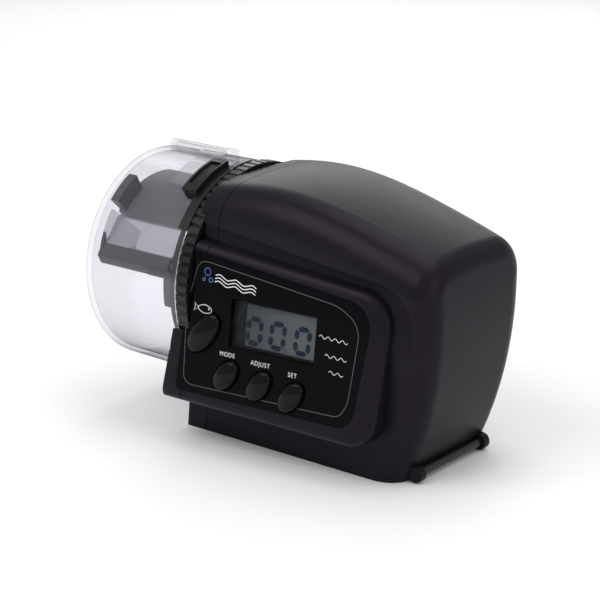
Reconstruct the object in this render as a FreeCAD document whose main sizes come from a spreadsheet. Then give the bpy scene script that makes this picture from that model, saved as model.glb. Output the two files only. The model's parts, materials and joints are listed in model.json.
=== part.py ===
import FreeCAD, Part
import math
import os
import re
import Sketcher
from FreeCAD import Placement, Rotation, Vector

# Automatic fish feeder: a battery housing with a clear food drum turning about a horizontal axis.
# Millimetres.  Origin: middle of the base's underside.  +X: towards the rear end, away from the drum.
# -Y: control panel side.  +Z: up.

doc = FreeCAD.newDocument("FishFeeder")
sheet = doc.addObject("Spreadsheet::Sheet", "Dimensions")

DIMENSIONS = {
    # housing
    "wall": 2.2,
    "seam_gap": 0.3,
    "front_foot": 45.4,
    "front_lean": 0.132,
    "frame_depth": 8.3,
    "base_half_width": 26.6,
    "rear_foot": 45.6,
    "rear_belly": 56.6,
    "rear_belly_height": 34.0,
    "rear_brow": 57.4,
    "rear_brow_height": 80.0,
    "rear_edge_radius": 8.5,
    "shoulder_radius": 13.0,
    # drum axis and drum
    "axis_height": 52.0,
    "drum_end": 82.8,
    "drum_mouth": 38.2,
    "drum_end_radius": 38.5,
    "drum_mouth_radius": 39.3,
    "drum_wall": 1.6,
    "ring_radius": 40.0,
    "ring_back": 33.4,
    "ring_web": 2.0,
    "knurl_count": 72,
    "knurl_depth": 0.6,
    "recess_radius": 41.0,
    "sweep_radius": 44.9,
    "sweep_floor": 40.7,
    "recess_floor": 33.0,
    "bulkhead": 2.0,
    # drive
    "shaft_radius": 3.0,
    "running_gap": 0.05,
    "axle_radius": 1.0,
    "plate_front": 15.4,
    "plate_thickness": 1.5,
    "motor_length": 25.0,
    "motor_radius": 10.0,
    "motor_flat_height": 15.0,
    # control panel
    "panel_lean": 8.17,
    "panel_turn": 4.4,
    "panel_thickness": 2.2,
    "panel_fit_gap": 0.15,
    "button_gap": 0.3,
    "window_width": 34.4,
    "window_height": 16.4,
    "board_thickness": 1.6,
    "board_depth": 8.0,
    # rear bracket bar
    "bar_radius": 1.65,
    "bar_x": 48.5,
    "bar_z": 3.0,
    "lug_radius": 2.9,
    "lug_spacing": 37.6,
    "lug_width": 3.4,
    # power
    "cell_radius": 7.1,
    "cell_length": 50.0,
    "cell_tip": 1.5,
    "base_thickness": 2.4,
    "door_length": 58.0,
    "door_width": 33.0,
    "door_thickness": 2.0,
}
for row, (alias, number) in enumerate(DIMENSIONS.items(), start=1):
    sheet.set(f"A{row}", alias)
    sheet.set(f"B{row}", str(number))
    sheet.setAlias(f"B{row}", alias)
doc.recompute()


class Sizes:
    """The sheet's cells, read by alias."""

    def __getattr__(self, alias):
        return float(sheet.get(alias))


D = Sizes()
PIECES = []
X_AXIS = Vector(1, 0, 0)
Y_AXIS = Vector(0, 1, 0)
Z_AXIS = Vector(0, 0, 1)


def keep(obj, node):
    """Label an object as a finished piece, under its node name."""
    obj.Label = node
    PIECES.append(obj)
    return obj


def bind(obj, prop, expression):
    """Tie a property to the sheet: words in the expression are aliases."""
    obj.setExpression(prop, re.sub(r"\b([a-z]\w*)\b", r"Dimensions.\1", expression))


def along(direction):
    """The rotation that turns +Z to a direction."""
    return Rotation(Z_AXIS, direction)


def rod(radius, length, start, direction=X_AXIS):
    """A cylinder object whose radius and length are sheet expressions or numbers."""
    obj = doc.addObject("Part::Cylinder", "Rod")
    for prop, size in (("Radius", radius), ("Height", length)):
        if isinstance(size, str):
            bind(obj, prop, size)
        else:
            setattr(obj, prop, size)
    obj.Placement = Placement(start, along(direction))
    return obj


def fuse(*objects):
    """One object made of several that touch."""
    joined = doc.addObject("Part::MultiFuse", "Fusion")
    joined.Shapes = list(objects)
    return joined


def group(objects):
    """Several separate solids under one node."""
    compound = doc.addObject("Part::Compound", "Group")
    compound.Links = list(objects)
    return compound


def feature(node, shape):
    """A piece whose shape is made directly, from sizes read from the sheet."""
    obj = doc.addObject("Part::Feature", "Formed")
    obj.Shape = shape
    return keep(obj, node)


def rounded_wire(corners, radii, placement=Placement()):
    """A closed outline with an arc of the given radius at each corner."""
    edges = []
    starts, ends, middles = [], [], []
    count = len(corners)
    for index in range(count):
        here = Vector(*corners[index], 0)
        back = Vector(*corners[index - 1], 0) - here
        ahead = Vector(*corners[(index + 1) % count], 0) - here
        back.normalize()
        ahead.normalize()
        half = back.getAngle(ahead) / 2
        reach = radii[index] / math.tan(half)
        bisector = back + ahead
        bisector.normalize()
        centre = here + bisector * (radii[index] / math.sin(half))
        starts.append(here + back * reach)
        ends.append(here + ahead * reach)
        middles.append(centre - bisector * radii[index])
    for index in range(count):
        edges.append(Part.Arc(starts[index], middles[index], ends[index]).toShape())
        edges.append(Part.LineSegment(ends[index], starts[(index + 1) % count]).toShape())
    wire = Part.Wire(edges)
    wire.Placement = placement
    return wire


def prism(wire, vector):
    """The solid swept by a closed flat outline."""
    return Part.Face(wire).extrude(vector)


def blend(first, second, share):
    """Part way from one list of points to another."""
    return [tuple(a + (b - a) * share for a, b in zip(one, two)) for one, two in zip(first, second)]


# ---------------------------------------------------------------- housing form

# Stations along X: position, height of the roof's middle, half width at the roof's edge.
ROOF_STATIONS = [
    (-52.0, 87.9, 31.0),
    (-33.5, 90.5, 30.9),
    (-12.0, 92.4, 30.6),
    (12.0, 89.8, 30.0),
    (36.0, 83.8, 29.2),
    (66.0, 73.4, 28.2),
]
ROOF_CROWN = 2.6
TALL = 120.0


def housing_section(x, roof, half_top, inset):
    """One cross-section of the housing, wider under the roof than at the foot."""
    foot = D.base_half_width - inset
    edge = half_top - inset
    shoulder = roof - ROOF_CROWN - inset
    left_foot = Vector(x, -foot, inset)
    left_edge = Vector(x, -edge, shoulder)
    ridge = Vector(x, 0, roof - inset)
    right_edge = Vector(x, edge, shoulder)
    right_foot = Vector(x, foot, inset)
    return Part.Wire([
        Part.LineSegment(left_foot, left_edge).toShape(),
        Part.Arc(left_edge, ridge, right_edge).toShape(),
        Part.LineSegment(right_edge, right_foot).toShape(),
        Part.LineSegment(right_foot, left_foot).toShape(),
    ])


def lean_block(offset, towards_rear):
    """The half space in front of, or behind, a plane parallel to the leaning front."""
    low = Vector(-D.front_foot + offset - D.front_lean * TALL, -TALL, -TALL)
    head = Vector(-D.front_foot + offset + D.front_lean * TALL, -TALL, TALL)
    reach = Vector(2 * TALL if towards_rear else -2 * TALL, 0, 0)
    outline = Part.makePolygon([low, head, head + reach, low + reach, low])
    return prism(outline, Vector(0, 2 * TALL, 0))


def rear_points(inset):
    """Three points of the bulging rear end's outline, from foot to brow."""
    return [
        Vector(D.rear_foot - inset, -TALL, 0),
        Vector(D.rear_belly - inset, -TALL, D.rear_belly_height),
        Vector(D.rear_brow - inset, -TALL, D.rear_brow_height),
    ]


def edge_points(edge):
    """A few points along an edge."""
    span = edge.LastParameter - edge.FirstParameter
    return [edge.valueAt(edge.FirstParameter + span * share) for share in (0.1, 0.5, 0.9)]


def housing_form(inset):
    """The loaf-shaped housing, drawn in by an inset, before the control pod is added."""
    loaf = Part.makeLoft([housing_section(*station, inset) for station in ROOF_STATIONS], True, False)
    foot, belly, brow = rear_points(inset)
    outline = Part.makePolygon([
        brow,
        Vector(brow.x, -TALL, TALL),
        Vector(-TALL, -TALL, TALL),
        Vector(-TALL, -TALL, 0),
        foot,
    ])
    side = prism(Part.Wire([Part.Arc(foot, belly, brow).toShape()] + outline.Edges), Vector(0, 2 * TALL, 0))
    body = loaf.common(side).Solids[0]
    shoulders = []
    for edge in body.Edges:
        points = edge_points(edge)
        if points[0].z > D.axis_height and abs(points[0].x - points[-1].x) > D.rear_foot:
            shoulders.append(edge)
    body = body.makeFillet(D.shoulder_radius - inset, shoulders)
    circle = Part.Circle(foot, belly, brow)
    rear_edges = []
    for edge in body.Edges:
        points = edge_points(edge)
        gaps = []
        for point in points:
            reach = Vector(point.x, -TALL, point.z).distanceToPoint(circle.Center)
            gaps.append(abs(reach - circle.Radius))
        if max(gaps) < 0.05 and points[1].z > inset + 1:
            rear_edges.append(edge)
    return body.makeFillet(D.rear_edge_radius - inset, rear_edges).Solids[0]


# ---------------------------------------------------------------- control pod

PANEL_ORIGIN = Vector(-34.3, -42.3, 20.9)
PANEL_TURN = Rotation(Z_AXIS, D.panel_turn) * Rotation(X_AXIS, 90 - D.panel_lean)
PANEL_OUT = PANEL_TURN.multVec(Z_AXIS)

# Corner points on the panel's face: left bottom, right bottom, right top, left top.
PANEL_CORNERS = [(-2.4, -0.4), (68.9, -0.4), (74.2, 41.0), (1.4, 48.8)]
PANEL_RADII = [2.0, 6.5, 9.0, 2.0]
POD_CORNERS = [(-13.0, -4.8), (75.0, -7.2), (80.8, 45.2), (-9.0, 53.0)]
POD_RADII = [4.0, 10.0, 12.5, 6.0]
TROUGH_CORNERS = [(-30.0, -14.0), (86.0, -14.0), (87.5, 47.6), (-30.0, 61.5)]
TROUGH_RADII = [3.0, 14.0, 14.0, 3.0]
POD_DEPTH = 26.0
TROUGH_FLOOR = 4.3


def on_panel(u=0.0, v=0.0, outward=0.0):
    """The placement of a point on the panel's face, local Z pointing out of it."""
    return Placement(PANEL_ORIGIN + PANEL_TURN.multVec(Vector(u, v, outward)), PANEL_TURN)


def inset_outline(corners, gap):
    """Move each corner of the panel's outline towards its middle by a gap on both axes."""
    middle_u = sum(u for u, _ in corners) / len(corners)
    middle_v = sum(v for _, v in corners) / len(corners)
    moved = []
    for u, v in corners:
        moved.append((u - gap * math.copysign(1, u - middle_u), v - gap * math.copysign(1, v - middle_v)))
    return moved


def panel_prism(corners, radii, low, high):
    """A prism on the panel's plane between two distances from its face."""
    wire = rounded_wire(corners, radii, on_panel(0, 0, low))
    return prism(wire, PANEL_OUT * (high - low))


def control_pod():
    """The raised moulding round the panel: a rounded shoulder, then straight sides."""
    lip = inset_outline(PANEL_CORNERS, -1.0)
    lip_radii = [radius + 1.0 for radius in PANEL_RADII]
    # distance below the face, and share of the way from the lip to the pod's outline
    steps = [(0.0, 0.0), (0.5, 0.42), (1.7, 0.8), (4.0, 1.0)]
    sections = []
    for drop, share in steps:
        corners = blend(lip, POD_CORNERS, share)
        radii = [a + (b - a) * share for a, b in zip(lip_radii, POD_RADII)]
        sections.append(rounded_wire(corners, radii, on_panel(0, 0, -drop)))
    shoulder = Part.makeLoft(sections, True, False)
    core = panel_prism(POD_CORNERS, POD_RADII, -POD_DEPTH, -steps[-1][0])
    return shoulder.fuse(core).removeSplitter()


def x_cylinder(radius, low, high, y=0.0, z=None):
    """A solid cylinder along X."""
    height = D.axis_height if z is None else z
    return Part.makeCylinder(radius, high - low, Vector(low, y, height), X_AXIS)


outer_form = housing_form(0.0)
inner_form = housing_form(D.wall)
trough = panel_prism(TROUGH_CORNERS, TROUGH_RADII, -TROUGH_FLOOR, POD_DEPTH)
case_outer = outer_form.cut(trough).fuse(control_pod()).common(lean_block(0.0, True)).Solids[0]

# The bottom is open inside the walls, where the base plate fits.
BASE_GAP = 0.2
base_half_length = D.rear_foot - D.wall - 1.2
bottom_opening = Part.makeBox(
    2 * base_half_length, 2 * (D.base_half_width - D.wall), 4 * D.wall,
    Vector(-base_half_length, -D.base_half_width + D.wall, -D.wall))
cavity = inner_form.fuse(bottom_opening).common(lean_block(D.wall + 0.2, True))
cavity = cavity.cut(panel_prism(
    inset_outline(TROUGH_CORNERS, -D.wall), TROUGH_RADII, -TROUGH_FLOOR - D.wall, POD_DEPTH))

# The panel sits on a ledge round the opening into the pod.
LEDGE = 2.2
PANEL_SEAT = D.panel_thickness + 0.1
panel_seat = panel_prism(
    inset_outline(PANEL_CORNERS, -D.panel_fit_gap), [radius + D.panel_fit_gap for radius in PANEL_RADII],
    -PANEL_SEAT, POD_DEPTH)
pod_opening = panel_prism(
    inset_outline(PANEL_CORNERS, LEDGE), [max(radius - LEDGE, 1.0) for radius in PANEL_RADII],
    -POD_DEPTH - LEDGE, POD_DEPTH)

# Room for the drum: the ring's recess, and a wider sweep for what stands out of the drum.
recess = x_cylinder(D.recess_radius, -TALL, -D.recess_floor)
recess = recess.fuse(x_cylinder(D.sweep_radius, -TALL, -D.sweep_floor))
cup_radius = D.recess_radius + D.bulkhead
cup_back = -D.recess_floor + D.bulkhead
cup_form = x_cylinder(cup_radius, -TALL, cup_back)
CUP_GAP = 0.3

seam_front = D.frame_depth - D.seam_gap / 2
seam_rear = D.frame_depth + D.seam_gap / 2

hollow_case = case_outer.cut(cavity.cut(cup_form)).cut(pod_opening.cut(cup_form)).cut(panel_seat).cut(recess)
shroud = cup_form.common(housing_form(D.wall + CUP_GAP)).cut(recess).common(lean_block(1.0, True))

# ---------------------------------------------------------------- gear train layout

STUB_HEIGHT = 0.75
ROOT_DEPTH = 1.05
BACKLASH = 0.12
PRESSURE_ANGLE = math.radians(20)
FLANK_STEPS = 4

# Teeth and modules: the drum's own gear, then the pinions and wheels of the idlers.
DRUM_TEETH, DRUM_MODULE = 48, 0.8
PINION_TEETH, WHEEL_TEETH = 12, 44
SECOND_MODULE, FIRST_MODULE = 0.5, 0.4


def pitch_radius(teeth, module):
    """Half a gear's pitch diameter."""
    return teeth * module / 2


def polar(centre, radius, degrees):
    """A point in the YZ plane at a distance and angle from another."""
    angle = math.radians(degrees)
    return (centre[0] + radius * math.cos(angle), centre[1] + radius * math.sin(angle))


DRUM_CENTRE = (0.0, D.axis_height)
SECOND_ANGLE, FIRST_ANGLE, MOTOR_ANGLE = 62.0, 178.0, 235.0
second_centre = polar(
    DRUM_CENTRE, pitch_radius(DRUM_TEETH + PINION_TEETH, DRUM_MODULE), SECOND_ANGLE)
first_centre = polar(
    second_centre, pitch_radius(WHEEL_TEETH + PINION_TEETH, SECOND_MODULE), FIRST_ANGLE)
motor_centre = polar(
    first_centre, pitch_radius(WHEEL_TEETH + PINION_TEETH, FIRST_MODULE), MOTOR_ANGLE)


def mesh_phase(driver_teeth, driver_phase, follower_teeth, direction):
    """The angle of a tooth of the follower, in mesh with a driver at an angle from its centre."""
    step = 360.0 / driver_teeth
    offset = (direction - driver_phase) % step
    return direction + 180.0 + offset * driver_teeth / follower_teeth + 180.0 / follower_teeth


def involute(angle):
    """The involute function."""
    return math.tan(angle) - angle


def gear_wheel(teeth, module, low, high, centre, phase):
    """A spur gear along X between two positions, one tooth's middle at a phase angle."""
    pitch = pitch_radius(teeth, module)
    base = pitch * math.cos(PRESSURE_ANGLE)
    tip = pitch + STUB_HEIGHT * module
    root = pitch - ROOT_DEPTH * module
    half_at_pitch = math.pi / (2 * teeth) - BACKLASH / (2 * pitch)
    flank = []
    start = max(base, root)
    for step in range(FLANK_STEPS + 1):
        radius = start + (tip - start) * step / FLANK_STEPS
        turn = half_at_pitch + involute(PRESSURE_ANGLE) - involute(math.acos(base / radius))
        flank.append((radius, turn))
    if root < base:
        flank.insert(0, (root, flank[0][1]))
    points = []
    for tooth in range(teeth):
        middle = math.radians(phase) + 2 * math.pi * tooth / teeth
        outline = [(r, -a) for r, a in flank] + [(r, a) for r, a in reversed(flank)]
        for radius, turn in outline:
            y = centre[0] + radius * math.cos(middle + turn)
            z = centre[1] + radius * math.sin(middle + turn)
            points.append(Vector(low, y, z))
    return prism(Part.makePolygon(points + points[:1]), Vector(high - low, 0, 0))


def at(centre, x):
    """A point at a gear's centre and a position along X."""
    return Vector(x, centre[0], centre[1])


# Positions along X: front and rear faces of each wheel.
DRUM_GEAR_X = (-27.6, -24.6)
SECOND_PINION_X, SECOND_WHEEL_X = (-28.2, -22.9), (-23.0, -21.0)
FIRST_PINION_X, FIRST_WHEEL_X = (-23.4, -18.9), (-19.0, -17.4)
MOTOR_PINION_X = (-19.6, -16.8)
plate_front = -D.plate_front
plate_rear = plate_front + D.plate_thickness

# ---------------------------------------------------------------- front frame and rear cover

POST_CENTRES = [(-22.6, 48.5), (22.6, 48.5), (0.0, 26.5), (-16.5, 80.5)]
POST_RADIUS = 2.8
GEAR_SCREW_RADIUS = 1.0
BUSH_RADIUS = 5.0
BOSS_RADIUS = 8.0
BOSS_BACK = -28.6

front_frame = hollow_case.common(lean_block(seam_front, False)).Solids[0].fuse(shroud)
front_frame = front_frame.fuse(x_cylinder(BOSS_RADIUS, cup_back - 0.5, BOSS_BACK))
for post_y, post_z in POST_CENTRES:
    front_frame = front_frame.fuse(x_cylinder(POST_RADIUS, cup_back - 0.5, plate_front, post_y, post_z))
for post_y, post_z in POST_CENTRES:
    pilot = x_cylinder(GEAR_SCREW_RADIUS, plate_front - 8, plate_front, post_y, post_z)
    front_frame = front_frame.cut(pilot)
front_frame = front_frame.cut(x_cylinder(BUSH_RADIUS, -TALL, 0))
AXLE_SEAT = 1.2
for centre in (second_centre, first_centre):
    front_frame = front_frame.cut(x_cylinder(D.axle_radius, cup_back - AXLE_SEAT, 0, *centre))

# Screw bosses reach from the walls to the base plate.
BOSS_TOP = 10.0
SCREW_RADIUS = 1.1
FRAME_BOSSES = [(-39.6, -18.0), (-39.6, 18.0)]
COVER_BOSSES = [(-22.0, -20.4), (-22.0, 20.4), (33.0, -20.4), (33.0, 20.4)]
FRAME_BOSS_RADIUS = 2.3
COVER_BOSS_RADIUS = 3.2
RIB_REACH = 5.2


def z_cylinder(radius, low, high, x, y):
    """A solid cylinder along Z."""
    return Part.makeCylinder(radius, high - low, Vector(x, y, low), Z_AXIS)


for boss_x, boss_y in FRAME_BOSSES:
    boss = z_cylinder(FRAME_BOSS_RADIUS, D.base_thickness, 7.0, boss_x, boss_y)
    rib = Part.makeBox(3.6, 2 * FRAME_BOSS_RADIUS, 7.0 - D.base_thickness,
                       Vector(boss_x - 3.6, boss_y - FRAME_BOSS_RADIUS, D.base_thickness))
    boss = boss.fuse(rib).common(outer_form)
    boss = boss.common(lean_block(1.0, True)).common(lean_block(seam_front, False))
    front_frame = front_frame.fuse(boss)
for boss_x, boss_y in FRAME_BOSSES:
    front_frame = front_frame.cut(z_cylinder(SCREW_RADIUS, 0, 6.0, boss_x, boss_y))
front_frame = front_frame.removeSplitter()
feature("front_frame", front_frame.Solids[0])

rear_cover = case_outer.cut(cavity).cut(pod_opening).cut(panel_seat)
rear_cover = rear_cover.cut(x_cylinder(cup_radius + CUP_GAP, -TALL, cup_back + CUP_GAP))
rear_cover = rear_cover.common(lean_block(seam_rear, True)).Solids[0]
for boss_x, boss_y in COVER_BOSSES:
    side = math.copysign(1, boss_y)
    boss = z_cylinder(COVER_BOSS_RADIUS, D.base_thickness, BOSS_TOP, boss_x, boss_y)
    rib_corner = Vector(boss_x - COVER_BOSS_RADIUS, min(boss_y, boss_y + side * RIB_REACH), D.base_thickness)
    rib = Part.makeBox(2 * COVER_BOSS_RADIUS, RIB_REACH, BOSS_TOP - D.base_thickness, rib_corner)
    rear_cover = rear_cover.fuse(boss).fuse(rib.common(outer_form))
for boss_x, boss_y in COVER_BOSSES:
    rear_cover = rear_cover.cut(z_cylinder(SCREW_RADIUS, 0, BOSS_TOP - 1, boss_x, boss_y))
half_spacing = D.lug_spacing / 2
for side in (-1, 1):
    lug = Part.makeCylinder(
        D.lug_radius, D.lug_width,
        Vector(D.bar_x, side * half_spacing - D.lug_width / 2, D.bar_z), Y_AXIS)
    lug = lug.makeFillet(0.5, [edge for edge in lug.Edges if edge.Curve.TypeId == "Part::GeomCircle"])
    rear_cover = rear_cover.fuse(lug)
bar_half = half_spacing + D.lug_width / 2 - 0.6
rear_cover = rear_cover.cut(Part.makeCylinder(
    D.bar_radius, 2 * bar_half, Vector(D.bar_x, -bar_half, D.bar_z), Y_AXIS))
rear_cover = rear_cover.removeSplitter()
feature("rear_cover", rear_cover.Solids[0])

bar = rod("bar_radius", "lug_spacing + lug_width - 1.2", Vector(D.bar_x, -bar_half, D.bar_z), Y_AXIS)
keep(bar, "bracket_bar")

# ---------------------------------------------------------------- base and power

CELL_Y = 7.7
CELL_START = -16.0
CELL_TIP = D.cell_tip
CELL_TIP_RADIUS = 2.7
DOOR_START = -20.0
TRAY_HEIGHT = 13.0
TRAY_WALL = 1.4
cell_z = D.base_thickness + D.cell_radius + 0.3

base_body = doc.addObject("PartDesign::Body", "BaseBody")


def origin_plane(body, role):
    """One of a body's own origin planes."""
    for plane in body.Origin.OriginFeatures:
        if plane.Role == role:
            return plane
    raise ValueError(role)


def rectangle_sketch(body, name, corner, length, width, role="XY_Plane", lift=0.0):
    """A rectangle on a plane of a body: its corner is fixed, its sides are sheet expressions."""
    sketch = body.newObject("Sketcher::SketchObject", name)
    sketch.AttachmentSupport = [(origin_plane(body, role), "")]
    sketch.MapMode = "FlatFace"
    sketch.AttachmentOffset = Placement(Vector(0, 0, lift), Rotation())
    x, y = corner
    points = [Vector(x, y, 0), Vector(x + 10, y, 0), Vector(x + 10, y + 10, 0), Vector(x, y + 10, 0)]
    for index in range(4):
        sketch.addGeometry(Part.LineSegment(points[index], points[(index + 1) % 4]), False)
    for index in range(4):
        sketch.addConstraint(Sketcher.Constraint("Coincident", index, 2, (index + 1) % 4, 1))
    for index in (0, 2):
        sketch.addConstraint(Sketcher.Constraint("Horizontal", index))
        sketch.addConstraint(Sketcher.Constraint("Vertical", index + 1))
    sketch.addConstraint(Sketcher.Constraint("DistanceX", -1, 1, 0, 1, x))
    sketch.addConstraint(Sketcher.Constraint("DistanceY", -1, 1, 0, 1, y))
    for kind, line, text in (("DistanceX", 0, length), ("DistanceY", 1, width)):
        number = sketch.addConstraint(Sketcher.Constraint(kind, line, 1, line, 2, 10.0))
        bind(sketch, f"Constraints[{number}]", text)
    return sketch


def pad(body, sketch, thickness, reverse=False):
    """Pad a sketch by a sheet expression."""
    step = body.newObject("PartDesign::Pad", "Pad")
    step.Profile = sketch
    bind(step, "Length", thickness)
    step.Reversed = reverse
    return step


def pocket(body, sketch, depth, reverse=False):
    """Cut a sketch into a body by a sheet expression."""
    step = body.newObject("PartDesign::Pocket", "Pocket")
    step.Profile = sketch
    bind(step, "Length", depth)
    step.Reversed = reverse
    return step


base_width = 2 * (D.base_half_width - D.wall - BASE_GAP)
base_length = 2 * (base_half_length - BASE_GAP)
plate_sketch = rectangle_sketch(
    base_body, "BaseOutline", (-base_length / 2, -base_width / 2),
    "2 * (rear_foot - wall) - 2.8", "2 * (base_half_width - wall) - 0.4")
pad(base_body, plate_sketch, "base_thickness")
door_sketch = rectangle_sketch(
    base_body, "DoorOpening", (DOOR_START, -D.door_width / 2), "door_length", "door_width")
pocket(base_body, door_sketch, "base_thickness", True)
doc.recompute()
ALL_BOSSES = FRAME_BOSSES + COVER_BOSSES
screw_holes = [z_cylinder(SCREW_RADIUS + 0.1, -1, D.base_thickness + 1, x, y) for x, y in ALL_BOSSES]
tray_half = CELL_Y + D.cell_radius + 0.5
tray_start = DOOR_START - TRAY_WALL - 0.4
tray_length = D.door_length + 2 * TRAY_WALL + 0.8
tray_outer = Part.makeBox(tray_length, 2 * (tray_half + TRAY_WALL + 1.4), TRAY_HEIGHT,
                          Vector(tray_start, -tray_half - TRAY_WALL - 1.4, D.base_thickness - 0.4))
tray_inner = Part.makeBox(tray_length - 2 * TRAY_WALL, 2 * (tray_half + 1.4), TRAY_HEIGHT + 2,
                          Vector(tray_start + TRAY_WALL, -tray_half - 1.4, 0))
base_shape = base_body.Shape.fuse(tray_outer.cut(tray_inner)).removeSplitter()
for hole in screw_holes:
    base_shape = base_shape.cut(hole)
for x, y in COVER_BOSSES:
    base_shape = base_shape.cut(z_cylinder(COVER_BOSS_RADIUS + 0.3, D.base_thickness, TALL, x, y))
feature("base_plate", base_shape.Solids[0])

DOOR_GAP = 0.25
door_body = doc.addObject("PartDesign::Body", "DoorBody")
door_face = rectangle_sketch(
    door_body, "DoorOutline", (DOOR_START + DOOR_GAP, -D.door_width / 2 + DOOR_GAP),
    "door_length - 0.5", "door_width - 0.5")
pad(door_body, door_face, "door_thickness")
GRIP_COUNT = 5
for index in range(GRIP_COUNT):
    groove = rectangle_sketch(
        door_body, f"Grip{index}", (DOOR_START + 5 + 2.4 * index, -6.0), "wall / 2", "door_width / 3 + 1")
    pocket(door_body, groove, "wall / 4", True)
keep(door_body, "battery_door")

cells = []
for side, flip in ((-1, False), (1, True)):
    can_x = CELL_START + (CELL_TIP if flip else 0.0)
    can = rod("cell_radius", "cell_length - cell_tip", Vector(can_x, side * CELL_Y, cell_z))
    tip_x = CELL_START + (0.0 if flip else D.cell_length - CELL_TIP)
    cells.append(fuse(can, rod(CELL_TIP_RADIUS, CELL_TIP, Vector(tip_x, side * CELL_Y, cell_z))))
keep(cells[0], "battery_cell_1")
keep(cells[1], "battery_cell_2")


LEAF_THICKNESS = 0.4
LEAF_HALF = 4.0
LEAF_WIDTH = 5.0
CONTACT_THICKNESS = 0.5


def leaf_spring(foot_x, tip_x, y):
    """A bowed leaf spring: its two feet on the contact plate, its crown against the cell."""
    step = math.copysign(LEAF_THICKNESS, tip_x - foot_x)
    outer = [
        Vector(foot_x, y, cell_z - LEAF_HALF),
        Vector(tip_x, y, cell_z),
        Vector(foot_x, y, cell_z + LEAF_HALF),
    ]
    inner = [
        Vector(foot_x, y, cell_z + LEAF_HALF - LEAF_THICKNESS),
        Vector(tip_x - step, y, cell_z),
        Vector(foot_x, y, cell_z - LEAF_HALF + LEAF_THICKNESS),
    ]
    wire = Part.Wire([
        Part.Arc(*outer).toShape(),
        Part.LineSegment(outer[-1], inner[0]).toShape(),
        Part.Arc(*inner).toShape(),
        Part.LineSegment(inner[-1], outer[0]).toShape(),
    ])
    return prism(wire, Vector(0, LEAF_WIDTH, 0))


spring_shapes = []
contact_shapes = []
tray_front = tray_start + TRAY_WALL
tray_rear = tray_front + tray_length - 2 * TRAY_WALL
for side, at_front in ((-1, True), (1, False)):
    leaf_y = side * CELL_Y - LEAF_WIDTH / 2
    if at_front:
        spring_shapes.append(leaf_spring(tray_front + CONTACT_THICKNESS, CELL_START - 0.05, leaf_y))
    else:
        spring_shapes.append(leaf_spring(
            tray_rear - CONTACT_THICKNESS, CELL_START + D.cell_length + 0.05, leaf_y))
for x in (tray_front, tray_rear - CONTACT_THICKNESS):
    contact_shapes.append(Part.makeBox(
        CONTACT_THICKNESS, 2 * CELL_Y + 10, 9.0, Vector(x, -CELL_Y - 5, cell_z - 4.5)))
feature("battery_springs", Part.makeCompound(spring_shapes))
feature("battery_contacts", Part.makeCompound(contact_shapes))


def screw(tip, direction, length, shank=1.0, head=2.0, head_height=1.4):
    """A pan-head screw with a cross slot: the shank's tip, and the direction to the head."""
    shape = Part.makeCylinder(shank, length, Vector(0, 0, 0), Z_AXIS)
    cap = Part.makeCylinder(head, head_height, Vector(0, 0, length), Z_AXIS)
    cap = cap.makeFillet(head_height * 0.45, [cap.Edges[0]])
    shape = shape.fuse(cap)
    for angle in (0, 90):
        slot = Part.makeBox(
            head * 1.2, 0.5, head_height * 0.6, Vector(-head * 0.6, -0.25, length + head_height * 0.5))
        slot.rotate(Vector(0, 0, 0), Z_AXIS, angle)
        shape = shape.cut(slot)
    shape.Placement = Placement(tip, along(direction))
    return shape


HEAD_DEPTH = 1.4
case_screws = []
for x, y in ALL_BOSSES:
    top = 5.4 if (x, y) in FRAME_BOSSES else 8.4
    case_screws.append(screw(Vector(x, y, top), Vector(0, 0, -1), top - HEAD_DEPTH, 1.0, 1.9, 1.2))
head_pockets = [z_cylinder(2.1, -1, HEAD_DEPTH, x, y) for x, y in ALL_BOSSES]
base_piece = PIECES[[piece.Label for piece in PIECES].index("base_plate")]
base_piece.Shape = base_piece.Shape.cut(Part.makeCompound(head_pockets))
feature("case_screws", Part.makeCompound(case_screws))

# ---------------------------------------------------------------- gearbox

# The gearbox plate's outline across and up, from its left corner anticlockwise.
PLATE_OUTLINE = [
    (-25.5, 44.5), (-4.5, 22.5), (4.5, 22.5), (25.5, 44.5),
    (25.5, 53.0), (19.5, 84.5), (-19.5, 84.5), (-25.5, 53.0),
]
plate_wire = Part.makePolygon([Vector(plate_front, y, z) for y, z in PLATE_OUTLINE + PLATE_OUTLINE[:1]])
gearbox_plate = prism(plate_wire, Vector(D.plate_thickness, 0, 0))
gearbox_plate = gearbox_plate.cut(x_cylinder(D.shaft_radius + D.running_gap, -TALL, TALL))
for post_y, post_z in POST_CENTRES:
    gearbox_plate = gearbox_plate.cut(x_cylinder(GEAR_SCREW_RADIUS + 0.1, -TALL, TALL, post_y, post_z))
for centre in (second_centre, first_centre):
    gearbox_plate = gearbox_plate.cut(x_cylinder(D.axle_radius, -TALL, TALL, *centre))
MOTOR_BOSS_RADIUS = 3.0
gearbox_plate = gearbox_plate.cut(x_cylinder(MOTOR_BOSS_RADIUS, -TALL, TALL, *motor_centre))
feature("gearbox_plate", gearbox_plate)

screws = [screw(Vector(plate_rear - 7.5, y, z), X_AXIS, 7.5) for y, z in POST_CENTRES]
feature("gearbox_screws", Part.makeCompound(screws))

axles = []
for centre in (second_centre, first_centre):
    axles.append(rod("axle_radius", "recess_floor - bulkhead + 1.2 - plate_front + plate_thickness",
                     at(centre, cup_back - AXLE_SEAT)))
keep(group(axles), "idler_axles")

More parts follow.
